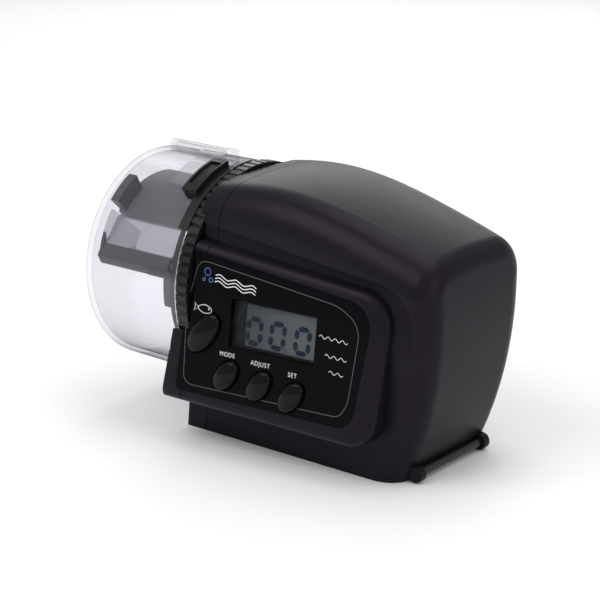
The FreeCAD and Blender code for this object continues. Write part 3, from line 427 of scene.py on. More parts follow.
@dataclass(frozen=True)
class CrownedKey(Finish):
    """A polished key whose oval top is softly crowned."""

    name: str
    centre: Vector
    long_way: Vector
    short_way: Vector
    half_length: float
    half_width: float
    crown: float = 1.1 * MM
    colour: Colour = (0.003, 0.003, 0.004)

    def build(self, tree: Tree) -> bpy.types.Material:
        """Build the crown, the finger smudges and the dust.

        Args:
            tree: the material's empty tree.

        Returns:
            The finished material.
        """
        long_share = tree.along(self.long_way, self.centre) / self.half_length
        short_share = tree.along(self.short_way, self.centre) / self.half_width
        height = 1.0 - (long_share * long_share + short_share * short_share)
        smudge = tree.noise(4 * MM, 4.0).between(0.45, 0.8)
        dust = tree.noise(0.5 * MM, 1.0, seed=3.0).between(0.74, 0.78)
        return tree.finish(tree.surface(
            Base_Color=tree.blend(dust * 0.12, self.colour, DUST),
            Roughness=0.10 + smudge * 0.08 + dust * 0.3, Specular_IOR_Level=0.15,
            Normal=tree.bump(height, self.crown)))


@dataclass(frozen=True)
class ClearPlastic(Finish):
    """Thin clear plastic: light passes straight on, the faces shine and the rims darken."""

    name: str
    tint: Colour = (0.957, 0.951, 0.970)
    rim: Colour = (0.060, 0.056, 0.074)
    shine: float = 0.05
    edge: float = 0.95
    power: float = 5.0

    def build(self, tree: Tree) -> bpy.types.Material:
        """Build the material."""
        return tree.finish(self.shader(tree))

    def shader(self, tree: Tree) -> bpy.types.Node:
        """Build the see-through walls, their shine, their dark rims and faint flow marks.

        Args:
            tree: the material's tree.

        Returns:
            The node that makes the surface.
        """
        facing = tree.out(tree.add("ShaderNodeLayerWeight", None, {"Blend": 0.5}), "Facing")
        flow = tree.noise(22 * MM, 2.0, tree.stretched((1.6, 0.7, 0.7)))
        drawn_out = tree.stretched((0.08, 1.0, 1.0), (0.3, 0.0, 0.2))
        scuff = tree.noise(1.4 * MM, 3.0, drawn_out, 6.0).between(0.66, 0.75)
        wavy = tree.bump(flow, 0.12 * MM)
        through = tree.add("ShaderNodeBsdfTransparent", None, {"Color": (*self.tint, 1.0)})
        bright = tree.surface(
            Base_Color=tree.blend(flow, (0.94, 0.94, 0.95), (0.99, 0.99, 1.0)), Metallic=1.0,
            Roughness=0.05 + scuff * 0.25, Normal=wavy)
        dark = tree.surface(
            Base_Color=tree.blend(flow, self.rim, tone(self.rim, 1.3)),
            Roughness=0.3 + scuff * 0.2, Specular_IOR_Level=0.0, Normal=wavy)
        shining = tree.mix(scuff * 0.05 + self.shine, through, bright)
        return tree.mix(facing ** self.power * self.edge, shining, dark)


@dataclass(frozen=True)
class ShutterPlastic(Finish):
    """Clear plastic whose shutter blade is dark where it closes the outlet.

    The blade lies behind one X and to the panel's side of one Y.
    """

    name: str
    clear: ClearPlastic
    blade_start: float = -48.2 * MM
    blade_side: float = -7.3 * MM
    colour: Colour = (0.006, 0.006, 0.007)

    def build(self, tree: Tree) -> bpy.types.Material:
        """Build the clear body and the dark blade.

        Args:
            tree: the material's empty tree.

        Returns:
            The finished material.
        """
        x, y, _ = tree.parts()
        blade = x.above(self.blade_start) * (1.0 - y.above(self.blade_side))
        grain = tree.noise(1.5 * MM, 3.0)
        dark = tree.surface(
            Base_Color=tree.blend(grain, self.colour, tone(self.colour, 1.5)),
            Roughness=0.32 + grain * 0.15, Specular_IOR_Level=0.3, Normal=tree.bump(grain, 0.01 * MM))
        return tree.finish(tree.mix(blade, self.clear.shader(tree), dark))


@dataclass(frozen=True)
class SmokedPlastic(Finish):
    """Smoked plastic: dark where it is thick, and seen through at the scoop's end wall and vane.

    Heights and radii are taken from the drum's axis.
    """

    name: str
    colour: Colour
    axis_height: float = 52.0 * MM
    wall_end: float = -78.9 * MM
    tray_top: float = 4.8 * MM
    tray_back: float = -30.5 * MM
    wall_slope: float = 0.87
    vane_radii: Point2 = (28.0 * MM, 29.85 * MM)
    vane_foot: float = 17.0 * MM
    wall_clear: float = 0.80
    vane_clear: float = 0.26

    def build(self, tree: Tree) -> bpy.types.Material:
        """Build the smoked body, and let light through the end wall and the vane.

        Args:
            tree: the material's empty tree.

        Returns:
            The finished material.
        """
        x, across, z = tree.parts()
        up = z - self.axis_height
        behind_wall = 1.0 - x.above(self.wall_end)
        under_paddle = (across * -self.wall_slope - up).above(0.0)
        in_wall = behind_wall * under_paddle * up.above(self.tray_top) * across.above(self.tray_back)
        inner, outer = self.vane_radii
        radius = (across * across + up * up) ** 0.5
        in_vane = radius.above(inner) * (1.0 - radius.above(outer)) * up.above(self.vane_foot)
        flow = tree.noise(14 * MM, 3.0)
        fine = tree.noise(3 * MM, 2.0, seed=2.0)
        solid = tree.surface(
            Base_Color=tree.blend(flow, tone(self.colour, 0.85), tone(self.colour, 1.15)),
            Roughness=0.36 + flow * 0.12, Specular_IOR_Level=0.35, Normal=tree.bump(fine, 0.002 * MM))
        through = tree.add("ShaderNodeBsdfTransparent", None, {"Color": (0.93, 0.92, 0.95, 1.0)})
        clear = in_wall * self.wall_clear + in_vane * self.vane_clear
        return tree.finish(tree.mix(clear, solid, through))


@dataclass(frozen=True)
class Metal(Finish):
    """Bare or plated metal, drawn or turned, with fine lines along one axis."""

    name: str
    colour: Colour
    roughness: float = 0.25
    lines: Colour = (0.06, 1.0, 1.0)

    def build(self, tree: Tree) -> bpy.types.Material:
        """Build the drawn lines and the dull patches.

        Args:
            tree: the material's empty tree.

        Returns:
            The finished material.
        """
        drawn = tree.noise(0.5 * MM, 3.0, tree.stretched(self.lines))
        dull = tree.noise(5 * MM, 4.0, seed=2.0).between(0.45, 0.75)
        colour = tree.blend(dull, self.colour, tone(self.colour, 0.78))
        return tree.finish(tree.surface(
            Base_Color=colour, Metallic=1.0, Roughness=self.roughness + (drawn - 0.5) * 0.16 + dull * 0.12,
            Normal=tree.bump(drawn, 0.015 * MM)))


@dataclass(frozen=True)
class Ink(Finish):
    """Screen-printed ink, slightly broken where it has worn."""

    name: str
    colour: Colour
    roughness: float = 0.5
    specular: float = 0.5

    def build(self, tree: Tree) -> bpy.types.Material:
        """Build the ink's uneven cover.

        Args:
            tree: the material's empty tree.

        Returns:
            The finished material.
        """
        thin = tree.noise(0.3 * MM, 3.0).between(0.55, 0.8)
        worn = tree.noise(6 * MM, 2.0, seed=8.0).between(0.5, 0.8)
        colour = tree.blend(thin * worn * 0.6, self.colour, tone(self.colour, 0.55))
        return tree.finish(tree.surface(
            Base_Color=colour, Roughness=self.roughness + worn * 0.1, Specular_IOR_Level=self.specular,
            Normal=tree.bump(thin, 0.01 * MM)))


@dataclass(frozen=True)
class Laminate(Finish):
    """A circuit board: solder mask over copper tracks, with fibre weave under it."""

    name: str
    mask: Colour = (0.015, 0.11, 0.045)
    copper: Colour = (0.05, 0.24, 0.10)

    def build(self, tree: Tree) -> bpy.types.Material:
        """Build the tracks, pads and weave.

        Args:
            tree: the material's empty tree.

        Returns:
            The finished material.
        """
        cells = tree.add("ShaderNodeTexBrick", {"offset": 0.4}, {
            "Vector": tree.stretched((1.0, 0.1, 1.0)), "Scale": 1.0 / (9 * MM), "Mortar Size": 0.035,
            "Brick Width": 0.9, "Row Height": 0.28})
        tracks = tree.out(cells, "Fac")
        weave = tree.noise(0.8 * MM, 2.0, tree.stretched((1.0, 1.0, 0.3)))
        colour = tree.blend(tracks, self.mask, self.copper)
        return tree.finish(tree.surface(
            Base_Color=tree.blend(weave * 0.3, colour, self.mask), Roughness=0.3 + weave * 0.15,
            Normal=tree.bump(tracks, 0.05 * MM)))


@dataclass(frozen=True)
class CellJacket(Finish):
    """A dry cell's printed film: a plain dark body, a coppery shoulder and a rim line."""

    name: str
    body: Colour
    shoulder: Colour
    low: float
    high: float
    band_start: float = 0.68
    band_end: float = 0.97

    def build(self, tree: Tree) -> bpy.types.Material:
        """Build the two bands along X, the pale line between them and the film's wrinkles.

        Args:
            tree: the material's empty tree.

        Returns:
            The finished material.
        """
        x, _, _ = tree.parts()
        share = (x - self.low) / (self.high - self.low)
        band = share.above(self.band_start) * (1.0 - share.above(self.band_end))
        line = 1.0 - (share - self.band_start).size().between(0.0, 0.02)
        colour = tree.blend(band, self.body, self.shoulder)
        colour = tree.blend(line, colour, (0.85, 0.85, 0.85))
        wrinkle = tree.noise(3 * MM, 3.0, tree.stretched((0.3, 1.0, 1.0)))
        return tree.finish(tree.surface(
            Base_Color=colour, Metallic=band * 0.7, Roughness=0.22 + wrinkle * 0.15,
            Normal=tree.bump(wrinkle, 0.03 * MM)))


@dataclass(frozen=True)
class DisplayGlass(Finish):
    """The display's pale field inside a darker border, dimmer towards the drum; the border is a painted
    shadow of the window's recess and the dimming is painted shade.
    """

    name: str
    field_colour: Colour
    # painted shadow of the window's recess, round the field
    border: Colour
    across: Vector
    up: Vector
    origin: Vector
    half_width: float
    half_height: float
    # moves the field away from the drum, so the painted recess shadow is widest on the drum's side
    shift: float
    soft_edge: float = 0.5 * MM

    def build(self, tree: Tree) -> bpy.types.Material:
        """Build the field, its soft edges, its painted recess shadow and its painted shade gradient.

        Args:
            tree: the material's empty tree.

        Returns:
            The finished material.
        """
        u = tree.along(self.across, self.origin) - self.shift
        v = tree.along(self.up, self.origin)
        # outside the field, the border colour paints the shadow of the window's recess
        inside = (1.0 - u.size().between(self.half_width - self.soft_edge, self.half_width)) * (
            1.0 - v.size().between(self.half_height - self.soft_edge, self.half_height))
        cloud = tree.noise(8 * MM, 3.0)
        # painted shade: the field darkens towards the drum
        shade = (u / self.half_width * 0.5 + 0.5).between(-0.15, 0.75)
        body = tree.blend(shade * 0.85 + cloud * 0.15, tone(self.field_colour, 0.40), self.field_colour)
        return tree.finish(tree.surface(
            Base_Color=tree.blend(inside, self.border, body), Roughness=0.22 + cloud * 0.1,
            Specular_IOR_Level=0.1, Normal=tree.bump(cloud, 0.01 * MM)))


BLACK_CASE = MouldedPlastic(
    "case_black", (0.0090, 0.0077, 0.0106), roughness=0.35, grain=0.32 * MM, grain_depth=0.012 * MM,
    mottle=0.05, specular=0.11, sheen_tint=(0.98, 0.80, 1.0))
BLACK_DOOR = MouldedPlastic(
    "door_black", (0.008, 0.007, 0.009), roughness=0.42, grain=0.4 * MM, specular=0.3)
BLACK_RING = MouldedPlastic(
    "ring_black", (0.005, 0.005, 0.006), roughness=0.26, grain=0.5 * MM, grain_depth=0.008 * MM,
    specular=0.35)
SCOOP_GREY = SmokedPlastic("scoop_charcoal", (0.048, 0.043, 0.058))
PLATE_BLACK = MouldedPlastic("plate_black", (0.02, 0.02, 0.022), 0.5)
GEAR_WHITE = MouldedPlastic(
    "gear_white", (0.74, 0.72, 0.66), roughness=0.42, grain=0.3 * MM, grain_depth=0.01 * MM)
RUBBER_GREY = MouldedPlastic("connector_grey", (0.11, 0.11, 0.12), 0.7)
CHIP_BLACK = MouldedPlastic("chip_black", (0.015, 0.015, 0.016), 0.55, grain=0.15 * MM)
PANEL_GLOSS = GlossyPlastic("panel_gloss", (0.0035, 0.0035, 0.0050), roughness=0.09, specular=0.035)
BAR_GLOSS = GlossyPlastic("bar_gloss", (0.007, 0.007, 0.008), roughness=0.26, specular=0.4)
DRUM_CLEAR = ClearPlastic("drum_clear")
RIM_CLEAR = ClearPlastic(
    "rim_clear", (0.90, 0.90, 0.91), (0.30, 0.29, 0.33), shine=0.55, edge=0.5, power=4.0)
GATE_CLEAR = ClearPlastic(
    "gate_clear", (0.965, 0.96, 0.972), (0.09, 0.088, 0.105), shine=0.10, edge=0.9, power=3.6)
SHUTTER = ShutterPlastic("shutter_clear", GATE_CLEAR)
SLIDE_CLEAR = ClearPlastic(
    "slide_clear", (0.74, 0.73, 0.77), (0.16, 0.15, 0.19), shine=0.30, edge=0.8, power=3.0)
LENS_CLEAR = ClearPlastic(
    "lens_clear", (0.93, 0.94, 0.95), (0.01, 0.01, 0.012), shine=0.004, edge=0.8, power=3.0)
STEEL = Metal("zinc_steel", (0.62, 0.62, 0.63), 0.28, (1.0, 1.0, 0.08))
SHAFT_STEEL = Metal("shaft_steel", (0.66, 0.66, 0.67), 0.2, (1.0, 0.2, 0.2))
CAN_STEEL = Metal("motor_can", (0.70, 0.70, 0.71), 0.3)
NICKEL = Metal("nickel", (0.74, 0.73, 0.70), 0.18)
BRASS = Metal("brass", (0.78, 0.57, 0.26), 0.24, (0.3, 1.0, 1.0))
WHITE_INK = Ink("white_ink", (0.78, 0.79, 0.80))
LINE_INK = Ink("line_ink", (0.055, 0.057, 0.062))
BLUE_INK = Ink("blue_ink", (0.06, 0.13, 0.42))
BLACK_INK = Ink("black_ink", (0.02, 0.02, 0.025))
SEGMENT_INK = Ink("segment_ink", (0.013, 0.024, 0.046), roughness=0.35, specular=0.08)
PAPER = Ink("scale_paper", (0.80, 0.80, 0.79), 0.6)
BOARD = Laminate("board_green")


# ---------------------------------------------------------------- modelling


class Shop:
    """The bench: mesh operations used by every sub-assembly."""

    @staticmethod
    def clear() -> None:
        """Leave edit mode and deselect everything."""
        if bpy.context.object and bpy.context.object.mode != "OBJECT":
            bpy.ops.object.mode_set(mode="OBJECT")
        bpy.ops.object.select_all(action="DESELECT")

    @staticmethod
    def only(piece: bpy.types.Object) -> bpy.types.Object:
        """Select one object and make it active.

        Args:
            piece: the object.

        Returns:
            The same object.
        """
        Shop.clear()
        piece.select_set(True)
        bpy.context.view_layer.objects.active = piece
        return piece

    @staticmethod
    def slab(name: str, size: Colour, at: Matrix) -> bpy.types.Object:
        """Add a box of a size, in a turned place.

        Args:
            name: the piece's name.
            size: its three sizes.
            at: its place and turn.

        Returns:
            The new object.
        """
        Shop.clear()
        bpy.ops.mesh.primitive_cube_add(size=1.0)
        piece = Shop.named(name)
        piece.scale = size
        bpy.ops.object.transform_apply(location=False, rotation=False, scale=True)
        piece.matrix_world = at
        return piece

    @staticmethod
    def named(name: str) -> bpy.types.Object:
        """Name the active object and its data.

        Args:
            name: the new name.

        Returns:
            The object.
        """
        piece = bpy.context.object
        piece.name = name
        piece.data.name = name
        return piece

    @staticmethod
    def pick(piece: bpy.types.Object, faces: Callable[[bpy.types.MeshPolygon], bool]) -> None:
        """Select faces by a test, in face mode.

        Args:
            piece: a mesh object in object mode.
            faces: true for the faces to select.
        """
        Shop.only(piece)
        bpy.ops.object.mode_set(mode="EDIT")
        bpy.ops.mesh.select_mode(type="FACE")
        bpy.ops.mesh.select_all(action="DESELECT")
        bpy.ops.object.mode_set(mode="OBJECT")
        for face in piece.data.polygons:
            face.select = faces(face)
        bpy.ops.object.mode_set(mode="EDIT")

    @staticmethod
    def close(piece: bpy.types.Object) -> None:
        """Merge doubled points and turn the faces outwards.

        Args:
            piece: the mesh object.
        """
        Shop.only(piece)
        bpy.ops.object.mode_set(mode="EDIT")
        bpy.ops.mesh.select_all(action="SELECT")
        bpy.ops.mesh.remove_doubles(threshold=1e-6)
        bpy.ops.mesh.normals_make_consistent(inside=False)
        bpy.ops.object.mode_set(mode="OBJECT")

    @staticmethod
    def join(name: str, pieces: Iterable[bpy.types.Object]) -> bpy.types.Object:
        """Join several objects into one.

        Args:
            name: the joined piece's name.
            pieces: the objects.

        Returns:
            The joined object.
        """
        Shop.clear()
        members = list(pieces)
        for piece in members:
            piece.select_set(True)
        bpy.context.view_layer.objects.active = members[0]
        if len(members) > 1:
            bpy.ops.object.join()
        return Shop.named(name)

    @staticmethod
    def settle(piece: bpy.types.Object, finish: Finish, body: str, slot: str) -> bpy.types.Object:
        """Finish a piece: its place goes into its mesh, and it gets a material and a body.

        Args:
            piece: the mesh object.
            finish: its finish.
            body: the frame's body that it rides on.
            slot: the record's material slot; not used.

        Returns:
            The same object.
        """
        Shop.only(piece)
        bpy.ops.object.transform_apply(location=True, rotation=True, scale=True)
        piece.data.materials.clear()
        piece.data.materials.append(finish.material())
        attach(piece, body)
        log.info("%s: %d faces, rides on %s", piece.name, len(piece.data.polygons), body)
        return piece


def dress(finish: Finish, *nodes: str) -> None:
    """Give the frame's own nodes a finish.

    Args:
        finish: the finish.
        nodes: the nodes' names.
    """
    for node in nodes:
        piece = frame["nodes"][node]
        piece.data.materials.clear()
        piece.data.materials.append(finish.material())
        log.info("%s: %s", node, finish.name)


def middle(node: str) -> Vector:
    """The middle of a node's box."""
    low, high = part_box(node)
    return (low + high) / 2


def joint(name: str) -> dict:
    """One of the record's joints, by name."""
    return next(j for j in frame["record"]["behaviour"]["joints"] if j["name"] == name)


# ---------------------------------------------------------------- sub-assemblies


class Case:
    """The loaf-shaped case, its base and its bracket bar."""

    def build(self) -> None:
        """Dress the case, its door, its bar and its screws."""
        dress(BLACK_CASE, "front_frame", "rear_cover", "base_plate")
        dress(BLACK_DOOR, "battery_door")
        dress(BAR_GLOSS, "bracket_bar")
        dress(STEEL, "case_screws")


@dataclass
class PanelFace:
    """The control panel's face as a drawing board: across, up and out, from the window's middle."""

    out: Vector = field(init=False)
    across: Vector = field(init=False)
    up: Vector = field(init=False)
    origin: Vector = field(init=False)
    window_depth: float = 1.35 * MM

    def __post_init__(self) -> None:
        """Read the face's tilt from a key's axis and its place from the window."""
        self.out = -Vector(joint("mode_press")["axis"]).normalized()
        self.across = Z_AXIS.cross(self.out).normalized()
        self.up = self.out.cross(self.across)
        self.origin = middle("lcd_window") + self.out * self.window_depth

    def point(self, u: float, v: float, height: float = 0.0) -> Vector:
        """A point over the face.

        Args:
            u: distance across from the window's middle.
            v: distance up.
            height: distance out of the face.

        Returns:
            The point in the frame.
        """
        return self.origin + self.across * u + self.up * v + self.out * height

    def matrix(self, u: float, v: float, height: float = 0.0, turn: float = 0.0) -> Matrix:
        """A place on the face, its Z pointing out.

        Args:
            u: distance across.
            v: distance up.
            height: distance out of the face.
            turn: turn about Z, in radians.

        Returns:
            The place.
        """
        spin = Matrix((self.across, self.up, self.out)).transposed().to_4x4()
        return Matrix.Translation(self.point(u, v, height)) @ spin @ Matrix.Rotation(turn, 4, "Z")

    def flat(self, node: str) -> Point2:
        """Where a node's middle falls on the face."""
        offset = middle(node) - self.origin
        return offset.dot(self.across), offset.dot(self.up)


def metres(path: Iterable[Point2]) -> list[Point2]:
    """Turn an outline drawn in millimetres into metres."""
    return [(u * MM, v * MM) for u, v in path]


def ring(centre: Point2, radius: float, count: int) -> list[Point2]:
    """Spread points round a circle.

    Args:
        centre: the circle's middle.
        radius: its radius.
        count: the number of points.

    Returns:
        The points, in order.
    """
    angles = [2 * math.pi * index / count for index in range(count)]
    return [(centre[0] + radius * math.cos(a), centre[1] + radius * math.sin(a)) for a in angles]


def stroke(
        name: str, paths: Sequence[Sequence[Point2]], width: float, closed: bool,
        smooth: bool) -> bpy.types.Object:
    """Draw strokes in the XY plane with a slim round section.

    Args:
        name: the piece's name.
        paths: lists of points.
        width: the stroke's width.
        closed: whether each path closes on itself.
        smooth: whether the line runs smoothly through its points.

    Returns:
        The strokes, as one mesh object.
    """
    Shop.clear()
    curve = bpy.data.curves.new(name, "CURVE")
    curve.dimensions = "3D"
    curve.bevel_depth = width / 2
    curve.bevel_resolution = 1
    curve.resolution_u = 6
    for path in paths:
        spline = curve.splines.new("BEZIER" if smooth else "POLY")
        points = spline.bezier_points if smooth else spline.points
        points.add(len(path) - 1)
        for point, (u, v) in zip(points, path):
            point.co = (u, v, 0) if smooth else (u, v, 0, 1)
            if smooth:
                point.handle_left_type = "AUTO"
                point.handle_right_type = "AUTO"
        spline.use_cyclic_u = closed
    piece = bpy.data.objects.new(name, curve)
    bpy.context.scene.collection.objects.link(piece)
    Shop.only(piece)
    bpy.ops.object.convert(target="MESH")
    return bpy.context.object


def rounded(corners: Sequence[Point2], radius: float, steps: int = 5) -> list[Point2]:
    """Round an outline's corners.

    Args:
        corners: the outline's corners, in order.
        radius: how far from each corner the rounding starts.
        steps: points on each rounding.

    Returns:
        The rounded outline.
    """
    outline: list[Point2] = []
    count = len(corners)
    for index, corner in enumerate(corners):
        here = Vector(corner)
        back = Vector(corners[index - 1]) - here
        ahead = Vector(corners[(index + 1) % count]) - here
        reach = min(radius, back.length * 0.45, ahead.length * 0.45)
        start = here + back.normalized() * reach
        end = here + ahead.normalized() * reach
        for step in range(steps + 1):
            share = step / steps
            point = start * (1 - share) ** 2 + here * 2 * share * (1 - share) + end * share ** 2
            outline.append((point.x, point.y))
    return outline


@dataclass
class ControlPanel:
    """The glossy panel with its window, printed marks and keys.

    Outlines and places on the face are in millimetres, across and up from the window's middle. A key has
    its half length and half width, and a ripple has its place and length.
    """

    face: PanelFace
    ink_height: float = 0.02 * MM
    ink_flatness: float = 0.12
    border: tuple[Point2, ...] = (
        (-31.5, 19.5), (25.1, 13.2), (31.6, 9.5), (33.8, 5.0), (31.6, -18.4), (28.7, -23.4), (-34.8, -24.3),
        (-35.5, 2.8))
    border_width: float = 0.34 * MM
    corner_reach: float = 4.0 * MM
    key_halves: tuple[tuple[str, float, float], ...] = (
        ("feed", 8.5, 4.7), ("mode", 6.3, 4.1), ("adjust", 6.3, 4.1), ("set", 6.3, 4.1))
    key_tilt: float = 52.0
    label_size: float = 2.25 * MM
    label_width: float = 0.88
    label_offset: Point2 = (-0.2 * MM, 7.1 * MM)
    fish_place: Point2 = (-28.6, 2.9)
    fish_width: float = 0.26 * MM
    emblem_place: Point2 = (-19.5, 14.6)
    wave_width: float = 0.36 * MM
    bubble_width: float = 0.34 * MM
    ripples: tuple[tuple[float, float, float], ...] = (
        (24.2, 1.9, 11.2), (25.6, -4.0, 8.4), (26.2, -9.2, 5.6))
    ripple_width: float = 0.22 * MM

    def build(self) -> None:
        """Dress the panel and print it."""
        dress(PANEL_GLOSS, "control_panel")
        self.keys()
        dress(LENS_CLEAR, "lcd_window")
        self.border_line()
        self.key_labels()
        self.fish_mark()
        self.wave_emblem()
        self.ripple_lines()

    def keys(self) -> None:
        """Give each key its own crowned finish."""
        turn = math.radians(self.key_tilt)
        long_way = self.face.across * math.cos(turn) + self.face.up * math.sin(turn)
        short_way = self.face.up * math.cos(turn) - self.face.across * math.sin(turn)
        for key, half_length, half_width in self.key_halves:
            node = f"{key}_button"
            finish = CrownedKey(
                f"key_gloss_{key}", middle(node), long_way, short_way, half_length * MM, half_width * MM)
            dress(finish, node)

    def on_face(
            self, piece: bpy.types.Object, u: float, v: float, finish: Finish, degrees: float = 0.0) -> None:
        """Lay a piece drawn in the XY plane flat on the panel.

        Args:
            piece: the mesh object.
            u: distance across from the window's middle.
            v: distance up.
            finish: the ink.
            degrees: its turn on the face.
        """
        place = self.face.matrix(u, v, self.ink_height, math.radians(degrees))
        piece.matrix_world = place @ Matrix.Diagonal((1, 1, self.ink_flatness, 1))
        Shop.settle(piece, finish, "housing", "panel_gloss")

    def border_line(self) -> None:
        """Print the thin line that frames the panel."""
        outline = rounded(metres(self.border), self.corner_reach)
        line = stroke("panel_border", [outline], self.border_width, closed=True, smooth=False)
        self.on_face(line, 0, 0, LINE_INK)

    def label(self, word: str) -> bpy.types.Object:
        """Make one word of plain narrow lettering.

        Args:
            word: the word.

        Returns:
            The lettering, as a mesh in the XY plane.
        """
        Shop.clear()
        bpy.ops.object.text_add()
        piece = Shop.named(f"label_{word.lower()}")
        piece.data.body = word
        piece.data.size = self.label_size
        piece.data.align_x = "CENTER"
        piece.data.align_y = "CENTER"
        piece.data.extrude = 0.06 * MM
        piece.data.space_character = 1.2
        bpy.ops.object.convert(target="MESH")
        piece = bpy.context.object
        piece.scale = (self.label_width, 1.0, 1.0)
        bpy.ops.object.transform_apply(location=False, rotation=False, scale=True)
        return piece

    def key_labels(self) -> None:
        """Print a plain word above each of the three small keys."""
        for node, word in (("mode_button", "MODE"), ("adjust_button", "ADJUST"), ("set_button", "SET")):
            u, v = self.face.flat(node)
            self.on_face(self.label(word), u + self.label_offset[0], v + self.label_offset[1], WHITE_INK)

    def fish_mark(self) -> None:
        """Print the outline of a fish above the feeding key."""
        body = [(-2.0, 0.0), (-0.4, 1.2), (1.6, 1.3), (3.5, 0.0), (1.6, -1.3), (-0.4, -1.2)]
        tail = [(-2.0, 0.0), (-3.7, 1.4), (-3.4, 0.0), (-3.7, -1.4)]
        eye = ring((2.35, 0.3), 0.22, 4)
        outline = stroke(
            "fish_outline", [metres(body), metres(eye)], self.fish_width, closed=True, smooth=True)
        fin = stroke("fish_tail", [metres(tail)], self.fish_width, closed=True, smooth=False)
        u, v = self.fish_place
        self.on_face(Shop.join("fish_mark", [outline, fin]), u * MM, v * MM, WHITE_INK, -4)

    def wave_emblem(self) -> None:
        """Print a plain emblem of waves and bubbles in the upper corner."""
        waves = [
            metres((step * 1.7 - 5.0, 0.55 * math.sin(step * math.pi / 2) - row * 1.15) for step in range(11))
            for row in range(3)]
        rings = [
            metres(ring((u, v), radius, 8))
            for u, v, radius in ((-8.4, 0.3, 1.25), (-6.6, -2.2, 0.75), (-9.4, -2.6, 0.5))]
        wave = stroke("wave_lines", waves, self.wave_width, closed=False, smooth=True)
        bubbles = stroke("bubble_rings", rings, self.bubble_width, closed=True, smooth=True)
        u, v = self.emblem_place
        self.on_face(wave, u * MM, v * MM, WHITE_INK, -6)
        self.on_face(bubbles, u * MM, v * MM, BLUE_INK, -6)

    def ripple_lines(self) -> None:
        """Print three ripples beside the window."""
        for number, (u, v, length) in enumerate(self.ripples, start=1):
            steps = 2 * round(length / 1.4)
            path = metres(
                (-length / 2 + length * k / steps, 0.5 * math.sin(k * math.pi / 2)) for k in range(steps + 1))
            line = stroke(f"ripple_{number}", [path], self.ripple_width, closed=False, smooth=True)
            self.on_face(line, u * MM, v * MM, WHITE_INK, -2)


class Segment(Enum):
    """The seven bars of a digit: across, up and whether it stands upright."""

    TOP = (0.0, 1.0, False)
    MIDDLE = (0.0, 0.0, False)
    BOTTOM = (0.0, -1.0, False)
    UPPER_LEFT = (-1.0, 0.5, True)
    UPPER_RIGHT = (1.0, 0.5, True)
    LOWER_LEFT = (-1.0, -0.5, True)
    LOWER_RIGHT = (1.0, -0.5, True)


NOUGHT = tuple(s for s in Segment if s is not Segment.MIDDLE)


@dataclass
class Display:
    """The display module behind the window, and the digits it shows.

    The pale field's half width is a share of the window's width; round it, the border is a painted shadow of
    the window's recess, widest towards the drum.
    """

    face: PanelFace
    pale: Colour = (0.150, 0.158, 0.162)
    # painted shadow of the window's recess
    border: Colour = (0.012, 0.013, 0.015)
    field_share: float = 0.42
    field_half_height: float = 7.4 * MM
    # pushes the field away from the drum, widening the painted recess shadow on that side
    recess_shadow_shift: float = 2.3 * MM
    depth: float = -2.28 * MM
    digit_places: tuple[float, ...] = (-8.6 * MM, 0.8 * MM, 10.8 * MM)
    digit_rise: float = -1.6 * MM
    half_digit: float = 2.5 * MM
    half_height: float = 4.1 * MM
    bar: float = 1.8 * MM
    bar_thickness: float = 0.06 * MM
    gap: float = 0.5 * MM
    tip_reach: float = 0.42
    tip_width: float = 0.12
    slant: float = 0.06

    def build(self) -> None:
        """Dress the module, its connector and model the digits."""
        low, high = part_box("lcd_window")
        width = (high - low).dot(self.face.across)
        glass = DisplayGlass(
            "display_glass", self.pale, self.border, self.face.across, self.face.up, self.face.origin,
            width * self.field_share, self.field_half_height, self.recess_shadow_shift)
        dress(glass, "lcd_module")
        dress(RUBBER_GREY, "display_connector")
        self.digits()

    def segment(self, length: float) -> bpy.types.Object:
        """Model one bar with pointed ends, lying across.

        Args:
            length: its length, tip to tip.

        Returns:
            The bar.
        """
        bar = Shop.slab("bar", (length - self.bar, self.bar, self.bar_thickness), Matrix.Identity(4))
        for sign in (-1, 1):
            Shop.pick(bar, lambda face, sign=sign: face.normal.x * sign > 0.9)
            bpy.ops.mesh.extrude_region_move(
                TRANSFORM_OT_translate={"value": (sign * self.bar * self.tip_reach, 0, 0)})
            bpy.ops.transform.resize(value=(1, self.tip_width, 1))
            bpy.ops.object.mode_set(mode="OBJECT")
        return bar

    def digits(self) -> None:
        """Model the three noughts that the display shows."""
        across = self.segment(2 * self.half_digit - self.gap)
        upright = self.segment(self.half_height - self.gap)
        for number, place in enumerate(self.digit_places, start=1):
            bars = []
            for part in NOUGHT:
                u, v, tall = part.value
                source = upright if tall else across
                copy = source.copy()
                copy.data = source.data.copy()
                bpy.context.scene.collection.objects.link(copy)
                rise = v * self.half_height
                shift = place + u * self.half_digit + self.slant * rise
                turn = math.pi / 2 - self.slant if tall else 0.0
                copy.matrix_world = self.face.matrix(shift, self.digit_rise + rise, self.depth, turn)
                bars.append(copy)
            digit = Shop.join(f"display_digit_{number}", bars)
            Shop.settle(digit, SEGMENT_INK, "housing", "lcd_glass")
        for spare in (across, upright):
            bpy.data.objects.remove(spare)


